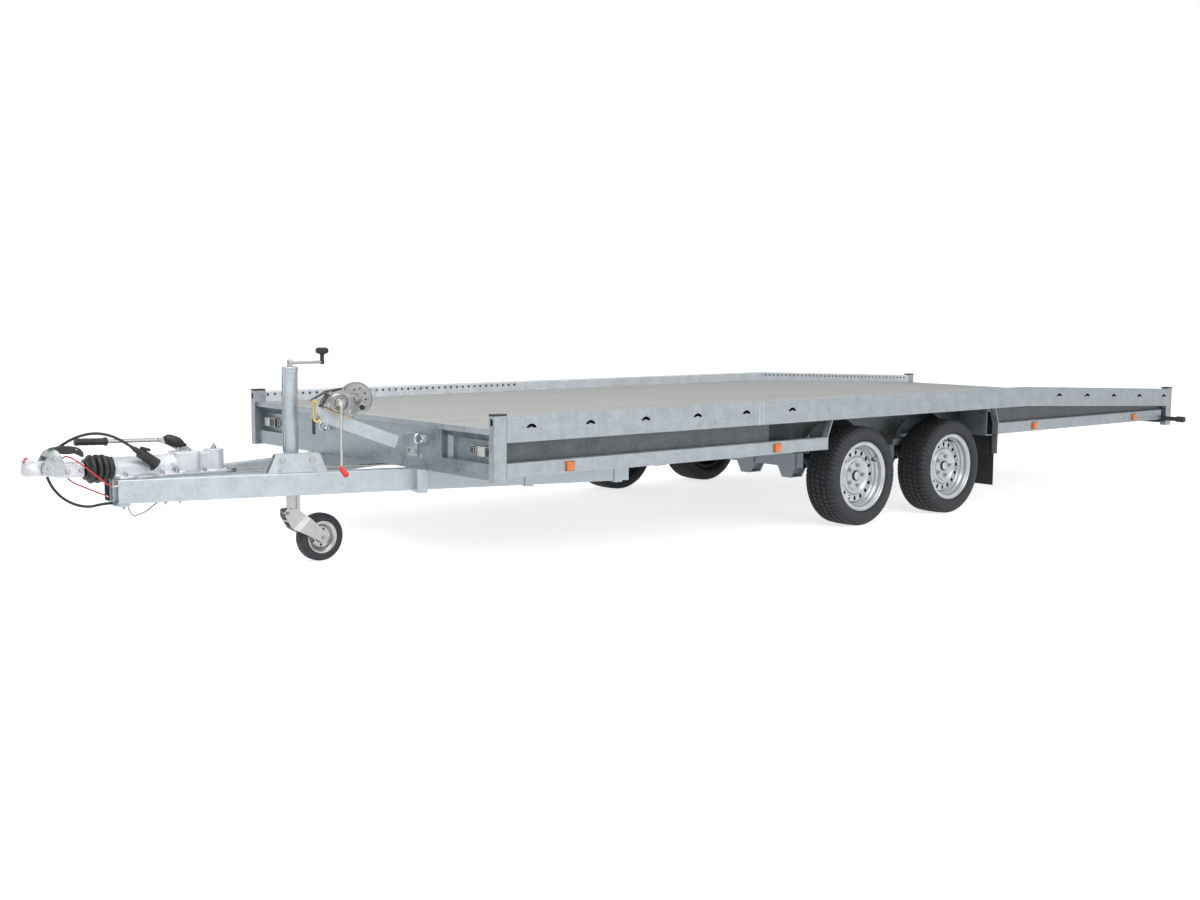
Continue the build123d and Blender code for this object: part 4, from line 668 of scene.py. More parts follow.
disc = use_tree(new_object("disc", disc_pitch()), ring_tree,
                {"Count": vent_count, "Material": rim_lacquer})
wall = disc.modifiers.new("sheet", "SOLIDIFY")
wall.thickness = 0.0035
wall.offset = -1.0
settle(disc)
bpy.context.scene.collection.objects.unlink(disc)

rolled_rim = [
    (-85, 182.5), (-85, 180), (-82, 178.6), (-79, 176.5), (-79, 163), (-77, 161), (-54, 160),
    (-48, 157), (-38, 146), (-34, 144), (18, 144), (28, 144), (32, 146.5), (36, 150.5),
    (44, 151.6), (49, 153.5), (53, 158), (57, 160), (66, 160.6), (75, 161.2), (78.5, 163.5),
    (79, 176), (81, 178.6), (84, 180), (85.2, 181.6), (84.4, 183), (80, 183.2), (77, 182),
    (75.6, 179), (75.6, 167), (73.5, 165), (52, 164.6), (30, 148), (-34, 148), (-50, 164.6),
    (-73.5, 165), (-75.6, 167), (-75.6, 182), (-80, 183.2), (-85, 182.5)]
brake_drum = [(-98, 40), (-98, 112), (10, 112), (16, 108), (18, 70), (29, 68), (31, 60),
              (31, 20.2), (-60, 20.2), (-60, 40), (-98, 40)]
shaded_well = [(-34, 143.9), (-34, 142.6), (24, 142.6), (24, 143.9), (-34, 143.9)]
centre_ring = [(30, 0), (30, 27.5), (43, 27.5), (45.5, 26), (46.5, 24), (45, 23), (43, 23)]
centre_cap = [(43, 23.5), (47, 23), (50, 20), (51.2, 14), (51.2, 11), (50.4, 10), (50.4, 0)]
valve_stem = [(0, 0), (0, 6), (4, 6), (6, 4.6), (18, 4), (19, 3), (22, 3), (22, 4.2),
              (31, 4.2), (32.5, 3), (33, 0)]
rust = {"Scale": 45.0, "Detail": 6.0}
# the brake drum's own dark iron with rust patches; the rim's inner half and well also use it
# as painted shade
iron_and_painted_shade = coated("dark_cast_iron_and_painted_shade", "#1b1b1c", "#34322f", rust, rust, (0.3, 0.0008),
                   {"Metallic": 0.5, "Roughness": 0.6})
valve_turns = {"front_left": 31.0, "front_right": 200.0, "rear_left": 78.0,
               "rear_right": 140.0}
valve_circle, bolt_circle = 0.1465, 0.056

for corner, place in wheel_places.items():
    body = "wheel_" + corner
    mesh = bmesh.new()
    mesh.from_mesh(disc.data)
    for face in mesh.faces:
        face.material_index = 0
    # the rim's inner half and a thin liner in its well get the drum's dark iron: painted shade
    # inside the wheel
    lathe(mesh, Matrix(), rolled_rim[:10], 72, 1)
    lathe(mesh, Matrix(), rolled_rim[9:], 72)
    lathe(mesh, Matrix(), brake_drum, 48, 1)
    lathe(mesh, Matrix(), shaded_well, 48, 1)
    mesh.transform(place)
    piece("road_wheel_" + corner, mesh, "silver_rim", rim_lacquer, iron_and_painted_shade,
          node="rim_" + corner, angle=28.0, body=body)
    mesh = bmesh.new()
    lathe(mesh, Matrix(), centre_ring, 32)
    lathe(mesh, Matrix(), centre_cap, 32, 1)
    mesh.transform(place)
    piece("hub_cap_" + corner, mesh, "silver_rim", plastic, rim_lacquer, body=body)
    turn = radians(valve_turns[corner])
    foot = Vector((0.040, valve_circle * cos(turn), valve_circle * sin(turn)))
    way = Vector((1.0, -0.22 * cos(turn), -0.22 * sin(turn)))
    mesh = bmesh.new()
    lathe(mesh, axes_at(foot, way), valve_stem, 14)
    mesh.transform(place)
    piece("tyre_valve_" + corner, mesh, "black_rubber", rubber, body=body)
    outward = (place.to_3x3() @ Vector((1, 0, 0))).normalized()
    spots = [(place @ Vector((0.035, bolt_circle * sin(a), bolt_circle * cos(a))), outward,
              0.88) for a in turns(5, 0.3)]
    fasten("wheel_bolts_" + corner, cone_bolt, spots, body)


# Coupling head: a silver-painted casting over the ball, between two pressed cheeks
# that carry the locking handle. The paint is pebbled by the sand mould.
def slab(mesh, place, outline, low, high, chamfer=1.0, mark=0, segments=2):
    """Plate with an outline of (x, y) millimetres, from low to high along the place's z."""
    rings = [[mesh.verts.new(place @ (Vector((u, v, w)) / 1000)) for u, v in outline]
             for w in (low, high)]
    faces = [mesh.faces.new(rings[0][::-1]), mesh.faces.new(rings[1])]
    faces += [mesh.faces.new((rings[0][i - 1], rings[0][i], rings[1][i], rings[1][i - 1]))
              for i in range(len(outline))]
    for face in faces:
        face.material_index = mark
    if chamfer:
        edges = list(dict.fromkeys(edge for face in faces for edge in face.edges))
        bmesh.ops.bevel(mesh, geom=edges, offset=chamfer / 1000, segments=segments,
                        profile=0.5, affect="EDGES", clamp_overlap=True)


def brick(mesh, place, xs, ys, zs, chamfer=1.0, mark=0):
    """Block between pairs of millimetres along the place's axes."""
    outline = [(xs[0], ys[0]), (xs[1], ys[0]), (xs[1], ys[1]), (xs[0], ys[1])]
    slab(mesh, place, outline, zs[0], zs[1], chamfer, mark)


upright = Matrix.Translation(at(0, 0, 0))


def both_sides(mesh, xs, ys, zs, chamfer=1.0, mark=0):
    """The same upright brick on the right and, mirrored, on the left."""
    for side in (-1, 1):
        brick(mesh, upright, sorted((side * xs[0], side * xs[1])), ys, zs, chamfer, mark)


def pipe(mesh, points, radius, steps=14, mark=0):
    """Round bar of one or several radii through points in metres, with closed ends."""
    points = [Vector(point) for point in points]
    radii = radius if isinstance(radius, (list, tuple)) else [radius] * len(points)
    side, rings = None, []
    for i, point in enumerate(points):
        ahead = (points[min(i + 1, len(points) - 1)] - points[max(i - 1, 0)]).normalized()
        side = ahead.orthogonal() if side is None else side - ahead * side.dot(ahead)
        side.normalize()
        other = ahead.cross(side)
        rings.append([mesh.verts.new(
            point + (side * cos(a) + other * sin(a)) * radii[i] / 1000) for a in turns(steps)])
    faces = [mesh.faces.new(rings[0][::-1]), mesh.faces.new(rings[-1])]
    for one, two in zip(rings, rings[1:]):
        faces += [mesh.faces.new((one[k - 1], one[k], two[k], two[k - 1]))
                  for k in range(steps)]
    for face in faces:
        face.material_index = mark


def bent(points, radius, steps=6):
    """Points in metres with their corners rounded over a radius in millimetres."""
    result = [Vector(points[0])]
    for before, corner, after in zip(points, points[1:], points[2:]):
        corner = Vector(corner)
        back, on = Vector(before) - corner, Vector(after) - corner
        reach = min(radius / 1000, back.length * 0.49, on.length * 0.49)
        first, last = corner + back.normalized() * reach, corner + on.normalized() * reach
        for i in range(steps + 1):
            t = i / steps
            result.append(first * (1 - t) ** 2 + corner * 2 * t * (1 - t) + last * t ** 2)
    return result + [Vector(points[-1])]


def casting(name, mesh, node, grain_mm, rounds, hollow=None):
    """Run overlapping forms into one skin with soft fillets, and take a hollow out."""
    thing = new_object(name, closed(name, mesh))
    skin = thing.modifiers.new("skin", "REMESH")
    skin.mode = "VOXEL"
    skin.voxel_size = grain_mm / 1000
    melt = thing.modifiers.new("melt", "SMOOTH")
    melt.factor = 0.5
    melt.iterations = rounds
    settle(thing)
    if hollow:
        cutter = new_object("hollow", closed("hollow", hollow))
        cut = thing.modifiers.new("cut", "BOOLEAN")
        cut.operation = "DIFFERENCE"
        cut.object = cutter
        settle(thing)
        bpy.data.objects.remove(cutter)
    thing.data.materials.append(cast_silver)
    soften(thing.data, 50.0)
    declare(thing, node)


# outlines in the side view are of (y, z), and their plates run along x
side_view = upright @ Matrix(((0, 0, 1), (1, 0, 0), (0, 1, 0))).to_4x4()
upward, ball_y = Vector((0, 0, 1)), -1513
head_cast = bmesh.new()
slab(head_cast, side_view, [(-1555, 456), (-1546, 450), (-1503, 448), (-1450, 443),
                            (-1417, 435), (-1361, 433), (-1309, 430), (-1309, 492),
                            (-1365, 496), (-1400, 500), (-1432, 512), (-1470, 506),
                            (-1500, 503), (-1522, 521), (-1545, 517), (-1550, 488)],
     -24, 24, 7.0)
slab(head_cast, side_view, [(-1452, 446), (-1417, 437), (-1309, 432), (-1309, 490),
                            (-1365, 494), (-1452, 500)], -34, 34, 9.0)
lathe(head_cast, axes_at(at(0, ball_y, 450), upward),
      [(0, 0), (0, 39), (3, 41.5), (22, 41), (36, 36), (47, 27), (54, 14), (56, 0)], 40)
lathe(head_cast, axes_at(at(0, -1545, 492), upward),
      [(0, 0), (0, 8), (22, 9), (27, 6), (28, 0)], 20)
socket = bmesh.new()
lathe(socket, axes_at(at(0, ball_y, 440), upward),
      [(0, 0), (0, 25.3), (30, 25.3), (38, 24), (46, 19.5), (52, 11), (55, 0)], 40)
casting("coupling_casting", head_cast, "coupling_head", 1.9, 5, socket)

cheeks = bmesh.new()
for x0, x1 in ((-41, -36), (36, 41)):
    slab(cheeks, side_view, [(-1490, 470), (-1482, 463), (-1412, 446), (-1398, 448),
                             (-1391, 458), (-1404, 520), (-1424, 548), (-1434, 552),
                             (-1450, 545), (-1462, 532), (-1486, 486)], x0, x1, 1.2)
slab(cheeks, side_view, [(-1466, 526), (-1450, 545), (-1434, 552), (-1424, 549),
                         (-1430, 544), (-1446, 537), (-1459, 521)], -38, 38, 1.0)
piece("coupling_cheeks", cheeks, "zinc_plated_steel",
      plated("bright_coupling_plate", "#9a9da0", "#b3b6b8", 0.3))
mark_paint = coated("red_indicator_paint", "#c6383c", "#d9585a",
                    {"Scale": 200.0, "Detail": 3.0}, None, None, {"Roughness": 0.4})
mark_mesh = bmesh.new()
slab(mark_mesh, side_view, [(-1552, 503), (-1550, 513), (-1545, 520.5), (-1533, 525),
                            (-1531, 521), (-1541, 515), (-1546, 502)], -11, 11, 0.8)
piece("wear_indicator", mark_mesh, "red_sheath", mark_paint)
head_bolts = [(at(42, -1437, 517), 0.82), (at(42, -1462, 478), 0.82),
              (at(35.5, -1383, 459), 1.1), (at(34.5, -1327, 461), 1.0)]
fasten("coupling_bolts", hexagon,
       [(place, (1, 0, 0), scale) for place, scale in head_bolts]
       + [(Vector((-place.x, place.y, place.z)), (-1, 0, 0), scale)
          for place, scale in head_bolts])


# Locking handle: a black moulded grip over a steel lever, with a green safety mark
# and a rivet through each end.
handle = bmesh.new()
slab(handle, side_view, [(-1448, 546), (-1440, 557), (-1420, 560), (-1405, 559), (-1392, 561),
                         (-1378, 559), (-1364, 561), (-1350, 559), (-1334, 556), (-1320, 548),
                         (-1309, 534), (-1306, 518), (-1310, 512.5), (-1317, 514),
                         (-1322, 524), (-1332, 530), (-1350, 530), (-1370, 528),
                         (-1396, 530), (-1412, 538), (-1426, 545), (-1440, 545)],
     -15, 15, 4.5, 0, 4)
brick(handle, side_view, (-1352, -1336), (538, 550), (-15.6, 15.6), 0.8, 1)
piece("coupling_grip", handle, "black_plastic", plastic, rubber, node="coupling_handle",
      angle=45.0)
fine = {"Scale": 300.0, "Detail": 2.0}
green_mark = coated("green_moulded_mark", "#1f8f63", "#37a878", fine, None, None,
                    {"Roughness": 0.4})
button = bmesh.new()
lathe(button, axes_at(at(14, -1447, 547), (1, 0, 0)),
      [(0, 0), (0, 6), (2.4, 5.4), (3, 4), (3, 0)], 20)
piece("safety_button", button, "black_plastic", green_mark)
fasten("handle_rivets", dome, [(at(s * 14.6, y, z), (s, 0, 0), 0.5) for s in (1, -1)
                               for y, z in ((-1432, 550), (-1338, 546))])


# Bellows: black rubber with three full folds and a small one, clipped to the housing
# and to the shaft behind the head.
bellows_line = [(-1304, 31.6), (-1304, 42), (-1300, 44), (-1296, 41), (-1293, 43)]
for middle, crest in ((-1278, 60.0), (-1251, 60.5), (-1226, 59.0), (-1205, 51.0)):
    span = 15.0 if crest > 55 else 9.0
    bellows_line += [(middle + k * span, crest - (crest - 41.0) * abs(k) ** 2.3)
                     for k in (-0.92, -0.75, -0.55, -0.3, 0.0, 0.3, 0.55, 0.75, 0.92)]
bellows_line += [(-1194, 43), (-1191, 46), (-1184, 46), (-1184, 31.6), (-1304, 31.6)]
shaft_axis = axes_at(at(0, 0, 460), (0, 1, 0))
folds = bmesh.new()
lathe(folds, shaft_axis, bellows_line, 56)
piece("rubber_bellows", folds, "black_rubber",
      moulded("bellows_rubber", "#17181a", "#242528", 0.45, 2.0), node="coupling_bellows",
      angle=60.0)


# Overrun housing: one silver-painted casting, a tube on a footed base with a square
# tower for the brake lever and a round boss, bolted down to the beams.
cast = bmesh.new()
lathe(cast, shaft_axis,
      [(-1190, 0), (-1190, 46), (-1183, 47), (-1178, 43), (-1150, 42), (-1060, 41),
       (-960, 41), (-935, 45), (-900, 46), (-900, 0)], 44)
slab(cast, side_view, [(-1188, 418), (-900, 418), (-900, 462), (-1188, 462)], -40, 40, 3.0)
slab(cast, upright,
     [(-66, -1178), (-40, -1186), (40, -1186), (66, -1178), (66, -1120), (48, -1096),
      (48, -1030), (66, -1010), (66, -905), (52, -884), (-52, -884), (-66, -905),
      (-66, -1010), (-48, -1030), (-48, -1096), (-66, -1120)], 415, 428, 3.0)
slab(cast, upright, [(-52, -906), (-36, -926), (36, -926), (52, -906), (52, -826),
                     (40, -810), (-40, -810), (-52, -826)], 420, 512, 5.0)
slab(cast, upright, [(-30, -826), (30, -826), (27, -720), (-27, -720)], 424, 504, 5.0)
lathe(cast, axes_at(at(0, -730, 424), upward),
      [(0, 0), (0, 43), (84, 42.5), (86, 44), (90, 43), (90, 0)], 44)
slab(cast, upright, [(-44, -880), (44, -880), (44, -670), (30, -661), (-30, -661),
                     (-44, -670)], 415, 424, 2.5)
# lugs and a rib on top of the tube, and gussets at its sides
for place, xs, ys, zs in (((0, -1183, 500), (-5, 5), (-6, 6), (0, 14)),
                          ((0, -1176, 500), (-4, 4), (0, 220), (-8, 4)),
                          ((18, -945, 496), (-5, 5), (-6, 6), (0, 14))):
    brick(cast, Matrix.Translation(at(*place)), xs, ys, zs, 2.0)
for s in (-1, 1):
    slab(cast, side_view, [(-1168, 420), (-1130, 420), (-1136, 436), (-1160, 452)],
         *sorted((s * 40, s * 50)), 2.0)
    slab(cast, side_view, [(-1000, 420), (-940, 420), (-940, 470), (-955, 470)],
         *sorted((s * 40, s * 52)), 2.0)
casting("overrun_housing", cast, "coupling_housing", 2.6, 4)
fasten("housing_bolts", nut,
       [(at(s * 56, y, 427), upward, 1.0) for s in (1, -1) for y in (-1150, -990, -925)]
       + [(at(0, -730, 513), upward, 1.3), (at(22, -850, 511), upward, 0.7),
          (at(-22, -850, 511), upward, 0.7), (at(0, -892, 511), upward, 0.9)]
       + [(at(s * 38, y, 423), upward, 0.8) for s in (1, -1) for y in (-790, -680)])
fasten("beam_bolts", nut,
       [(at(s * 78, y, 315), (0, 0, -1), 1.0) for s in (1, -1) for y in (-990, -925)])


# Handbrake: a chromed rod with a black grip, bolted to a flat bar that goes down to
# the tower. A ribbed black moulding covers its spring.
brake_x = -66
brake = bmesh.new()
grip_line = [(0, 0), (0, 13), (3, 16), (8, 16.5), (12, 15.5), (30, 14.6), (46, 15.4),
             (62, 14.6), (78, 15.4), (94, 14.6), (110, 15.4), (122, 15), (125, 18),
             (133, 18.5), (136, 17), (136, 9), (136, 0)]
grip_end = at(brake_x, -1314, 569)
lathe(brake, axes_at(grip_end, at(brake_x, -1178, 564) - grip_end), grip_line, 28, 1)
pipe(brake, [at(brake_x, -1190, 564.5), at(brake_x, -1000, 560), at(brake_x, -940, 558)],
     9.0, 18)
slab(brake, side_view, [(-962, 551), (-956, 567), (-930, 568), (-900, 556), (-822, 524),
                        (-802, 512), (-788, 478), (-790, 440), (-836, 440), (-842, 486),
                        (-850, 502), (-905, 530), (-950, 548)],
     brake_x - 6, brake_x + 6, 2.0)
brick(brake, upright, (-77, -50), (-846, -794), (415, 470), 3.0)
cover_end = at(brake_x, -930, 566)
lathe(brake, axes_at(cover_end, at(brake_x, -826, 527) - cover_end),
      [(0, 0), (0, 8), (6, 9), (9, 15), (14, 19), (22, 23), (24, 21.5), (32, 24.5), (34, 23),
       (44, 25.5), (46, 24), (56, 25.5), (58, 24), (68, 24.5), (78, 22), (88, 17.5), (96, 12),
       (101, 9), (110, 8), (110, 0)], 32, 1)
piece("handbrake_handle", brake, "zinc_plated_steel", zinc, plastic, node="handbrake_lever",
      angle=40.0)
fasten("handbrake_bolts", hexagon,
       [(at(brake_x + s * 6.5, y, z), (s, 0, 0), size)
        for s, y, z, size in ((1, -948, 559, 0.9), (1, -818, 488, 1.2),
                              (-1, -818, 488, 1.2), (-1, -948, 559, 0.9))])


# Cables: the black trailer lead from its clip under the drawbar's point round the
# coupling to its plug, and the red breakaway cable. Both are free and sag in arcs.
lead_route = [(0, -3.1755, 0.312), (0, -3.2195, 0.312), (-0.004, -3.2695, 0.302),
              (-0.014, -3.3235, 0.314), (-0.03, -3.3715, 0.344), (-0.046, -3.4055, 0.388),
              (-0.06, -3.4235, 0.438), (-0.067, -3.4195, 0.49), (-0.06, -3.3915, 0.536),
              (-0.044, -3.3475, 0.572), (-0.024, -3.2975, 0.598), (0, -3.2435, 0.609),
              (0.03, -3.1915, 0.6), (0.0555, -3.1445, 0.573), (0.06, -3.1045, 0.543)]
breakaway_route = [(0.072, -3.1775, 0.39), (0.072, -3.2095, 0.39), (0.074, -3.2475, 0.422),
                   (0.074, -3.2915, 0.46), (0.062, -3.3335, 0.498), (0.03, -3.3595, 0.52),
                   (-0.014, -3.3695, 0.518), (-0.048, -3.3655, 0.492),
                   (-0.056, -3.3555, 0.45), (-0.04, -3.3375, 0.414), (-0.008, -3.3055, 0.394),
                   (0.008, -3.2595, 0.372), (0.008, -3.2135, 0.35), (0.008, -3.1755, 0.337)]


def free_cable(name, route, diameter, finish):
    """A smooth NURBS tube along the route."""
    curve = bpy.data.curves.new(name, "CURVE")
    curve.dimensions = "3D"
    curve.bevel_depth = diameter / 2
    curve.bevel_resolution = 5
    curve.use_fill_caps = True
    line = curve.splines.new("NURBS")
    line.points.add(len(route) - 1)
    for point, spot in zip(line.points, route):
        point.co = (*spot, 1.0)
    line.order_u = 3
    line.use_endpoint_u = True
    line.resolution_u = 12
    return new_object(name, curve, finish)


cable_sheath = moulded("cable_sheath", "#17181a", "#1f2022", 0.38, 3.0)
red_sheath = coated("red_plastic_sheath", "#c21f26", "#dc2f34", fine, fine, (0.3, 0.0004),
                    {"Roughness": 0.3})

lead = free_cable("electric_lead", lead_route, 0.012, cable_sheath)
declare(lead, "electric_cable")
breakaway = free_cable("breakaway_cord", breakaway_route, 0.006, red_sheath)
declare(breakaway, "breakaway_cable")


# Winch webbing: a dark grey polyester strap, woven with ribs 2.4 mm apart. It is wound
# on the drum and comes forward over it to the hook.
webbing, tree, place = new_finish("ribbed_polyester_webbing")
rib = add_node(tree, "ShaderNodeTexWave", {"Vector": place, "Scale": 130.0,
                                           "Distortion": 0.4}, bands_direction="Z")
shade_with(tree, shades(tree, rib.outputs["Fac"], "#33353a", "#4d5056", 0.0, 1.0),
           rib.outputs["Fac"], (0.8, 0.001), {"Roughness": 0.8})
finish_of["winch_strap"] = webbing


# Plug of the trailer lead: black moulding with a ribbed neck, a ribbed coupling ring
# and a round sprung cap with its latch.
plug_start = Vector(lead_route[-1])
plug_way = (plug_start - Vector(lead_route[-2])).normalized()
plug = bmesh.new()
plug_place = axes_at(plug_start, plug_way)
plug_line = [(-14, 0), (-14, 6), (-10, 7.6), (-8, 6.6), (-5, 8.2), (-3, 7), (0, 9), (2, 7.6),
             (6, 11), (24, 12.5), (28, 14), (30, 20), (34, 22), (52, 22), (54, 20.5),
             (60, 20.5)]
for k in range(8):
    plug_line += [(62 + k * 6, 22), (66 + k * 6, 22), (67 + k * 6, 21)]
plug_line += [(114, 23), (122, 23), (124, 21), (124, 18), (118, 17), (118, 0)]
lathe(plug, plug_place, plug_line, 36)
cap_way = plug_place.to_3x3() @ Vector((-0.35, 0, 1.0))
lathe(plug, axes_at(plug_place @ Vector((0.046, 0, 0.019)), cap_way),
      [(0, 0), (0, 20), (3, 22), (9, 22), (12, 20), (13, 16), (13, 0)], 32)
brick(plug, plug_place, (104, 124), (-7, 7), (-31, -20), 1.5)
brick(plug, plug_place, (112, 118), (-9, 9), (-35, -28), 1.2)
plug_piece = piece("seven_pin_plug", plug, "black_plastic", plastic, node="cable_plug",
                   angle=30.0)


# Breakaway clip: a small steel snap hook at the cable's end, and a yellow-zinc cable
# clip bolted under the drawbar's point.
clip = bmesh.new()
pipe(clip, bent([at(8, -1197, 338), at(8, -1186, 346), at(8, -1158, 346), at(8, -1150, 338),
                 at(8, -1158, 330), at(8, -1186, 330), at(8, -1197, 337)], 8), 2.2, 10)
lathe(clip, axes_at(at(8, -1212, 345), (0, 1, -0.5)),
      [(-8, 0), (-8, 4), (8, 4.4), (10, 3), (10, 0)], 14)
lathe(clip, axes_at(at(72, -1216, 390), (0, 1, 0)),
      [(0, 0), (0, 3.6), (3, 4.2), (22, 4.2), (26, 6), (26, 0)], 14)
piece("breakaway_hook", clip, "zinc_plated_steel", zinc)
fasten("bracket_bolts", nut, [(at(44, -1158, 301), (0, 0, -1), 0.9),
                              (at(58, -1164, 301), (0, 0, -1), 0.7)])


# Winch: pressed satin steel on the bent arm. Side plates carry the drum's round gear
# cover and the brake housing; a yellow-zinc plate joins them to the arm.
winch_plan, winch_slope = radians(15.0), radians(21.0)
winch_along = Vector((-sin(winch_plan) * cos(winch_slope), -cos(winch_plan) * cos(winch_slope),
                      sin(winch_slope)))
winch_side = Vector((cos(winch_plan), -sin(winch_plan), 0))
winch_rise = winch_along.cross(winch_side)
winch_frame = Matrix.Translation(at(430, -86, 544)) @ Matrix(
    (winch_along, winch_side, winch_rise)).transposed().to_4x4()


def on_winch(s, out, up):
    """Place from millimetres along the arm, out to the near side and up from its middle."""
    return winch_frame @ (Vector((s, out, up)) / 1000)


def winch_axis(s, out, up):
    """The same place with axes for lathe: x out to the near side."""
    return axes_at(on_winch(s, out, up), winch_side, winch_rise)


# the drum's and the brake shaft's places, along the arm and up from it
drum_s, drum_up, shaft_s, shaft_up = 232, 117, 303, 75
winch_face = winch_frame @ Matrix(((1, 0, 0), (0, 0, 1), (0, 1, 0))).to_4x4()
frame_outline = [(356, 28), (357, 62), (345, 104), (313, 129), (290, 137), (268, 128),
                 (246, 132), (222, 139), (209, 117), (214, 60), (220, 28)]
sides = bmesh.new()
for out in (-44, 40):
    slab(sides, winch_face, frame_outline, out, out + 4, 1.0)
    brick(sides, winch_frame, (216, 356), (out, out + 4), (28, 40), 1.0)
for s, up, radius in ((350, 100, 5), (338, 46, 4), (225, 128, 4)):
    lathe(sides, winch_axis(s, -50, up), [(0, 0), (0, radius + 3), (5, radius + 3),
                                          (6, radius), (96, radius), (97, radius + 4),
                                          (101, radius + 4), (102, 0)], 18)
slab(sides, winch_face, [(348, 76), (340, 104), (313, 124), (286, 118), (262, 98), (224, 66),
                         (219, 49), (228, 33), (258, 33), (345, 36), (354, 54)],
     44, 50, 2.6)
slab(sides, winch_face, [(343, 75), (336, 100), (312, 118), (288, 113), (265, 93), (230, 63),
                         (226, 50), (232, 39), (258, 39), (341, 42), (348, 55)],
     50, 54.5, 2.0)
lathe(sides, winch_axis(304.7, 44, 74.3),
      [(0, 0), (0, 43), (8, 43), (12, 41), (16, 36), (17.5, 33), (15, 31), (15, 22), (17, 20),
       (24, 18), (26, 15), (26, 0)], 44)
piece("winch_side_plates", sides, "zinc_plated_steel", winch_steel, node="winch_frame")
base = bmesh.new()
brick(base, winch_frame, (218, 354), (-48, 48), (28, 31.5), 0.8)
piece("winch_base_plate", base, "zinc_plated_steel", yellow_zinc)
fasten("winch_bolts", hexagon,
       [(on_winch(s, out, up), winch_side, scale) for s, out, up, scale in (
           (245.7, 54, 54.8, 0.85), (344, 54, 50, 0.7), (352, 44, 44, 0.7),
           (222, 44, 128, 0.6))]
       + [(on_winch(s, out, 31), winch_rise, 0.8) for s in (232, 338) for out in (30, -30)])

drum = bmesh.new()
lathe(drum, winch_axis(drum_s, 0, drum_up),
      [(-48, 0), (-48, 10), (-34, 10), (-34, 61), (-31, 62), (-30, 60), (-30, 26), (15, 26),
       (15, 70), (16, 73), (33, 73.4), (35, 73), (36, 71.5), (36, 69.5), (33.5, 68),
       (32.5, 66), (32.5, 15), (36, 13), (36, 10), (50, 10), (52, 8), (52, 0)], 64)
# the thin dark discs with mark 1 are painted shade in the gear's recessed centre and in its
# holes
for s, up, radius, mark in ((194, 90, 17, 0), (194, 90, 12, 1), (253, 150, 4, 1),
                            (232, 163, 4, 1), (203, 152, 4, 1), (190, 128, 4, 1),
                            (200, 128, 7, 0)):
    lathe(drum, winch_axis(s, 32.2, up),
          [(0, 0), (0, radius), (1.2 + mark, radius), (1.8 + mark, radius - 1.2),
           (1.8 + mark, 0)], 24, mark)
# near-black steel used as painted shade in recesses and holes
painted_recess_shade = plated("shaded_steel", "#2d2c2a", "#3d3b38", 0.5)
piece("winch_drum_and_gear", drum, "zinc_plated_steel", winch_steel, painted_recess_shade,
      node="winch_drum", body="winch_drum")

# webbing wound on the drum: its turns show as fine rings at both edges of the coil
coil_line = [(-29, 26.2)]
for k in range(8):
    coil_line += [(-29.6 + 0.4 * (k % 2), 27 + 3 * k), (-29.2 + 0.4 * (k % 2), 29.6 + 3 * k)]
coil_line += [(-27, 50.4), (11, 50.4), (12.5, 49.4)]
for k in reversed(range(8)):
    coil_line += [(13.4 - 0.4 * (k % 2), 28.6 + 3 * k), (13.8 - 0.4 * (k % 2), 27 + 3 * k)]
coil_line += [(13.4, 26.2), (-29, 26.2)]
coil = bmesh.new()
lathe(coil, winch_axis(drum_s, 0, drum_up), coil_line, 64)
piece("webbing_coil", coil, "webbing", webbing, body="winch_drum")


# Winch crank: a round steel bar bent down from the brake shaft, with a red moulded
# grip that turns on its foot.
crank = bmesh.new()
crank_top = on_winch(shaft_s, 84, shaft_up)
crank_foot = crank_top - Vector((0, 0, 0.285))
pipe(crank, bent([on_winch(shaft_s, -46, shaft_up),
                  on_winch(shaft_s, 80, shaft_up) + Vector((0, 0, 0.002)),
                  crank_top - Vector((0, 0, 0.024)) + winch_side * 0.006,
                  crank_foot + Vector((0, 0, 0.004)),
                  crank_foot + winch_side * 0.068 - Vector((0, 0, 0.0175))], 16, 8), 6.2, 16)
lathe(crank, winch_axis(shaft_s, 66, shaft_up),
      [(0, 0), (0, 13), (3, 15), (14, 15), (17, 13), (17, 0)], 28)
lathe(crank, winch_axis(shaft_s, -50, shaft_up), [(0, 0), (0, 9), (6, 9), (6, 0)], 18)
piece("winch_crank_bar", crank, "zinc_plated_steel",
      plated("bright_crank_bar", "#aeaca4", "#c6c3ba", 0.28), node="winch_crank",
      body="winch_crank")
grip_red = moulded("red_moulded_grip", "#d42a23", "#e8392f", 0.38, 1.5)
grip = bmesh.new()
grip_way = winch_side * 0.072 - Vector((0, 0, 0.0195))
lathe(grip, axes_at(crank_foot - winch_side * 0.004 + Vector((0, 0, 0.002)), grip_way),
      [(0, 0), (0, 9), (2, 12), (6, 13), (16, 12.4), (34, 12), (54, 12.6), (68, 13.2),
       (76, 12.4), (81, 9), (83, 4), (83, 0)], 28)
piece("winch_crank_grip", grip, "red_sheath", grip_red, body="winch_crank")


# Winch hook: a bent steel bar, golden chromated, with a sprung latch. It hangs in the
# strap's sewn eye, and the strap's short tail hangs beside it.
hook = bmesh.new()
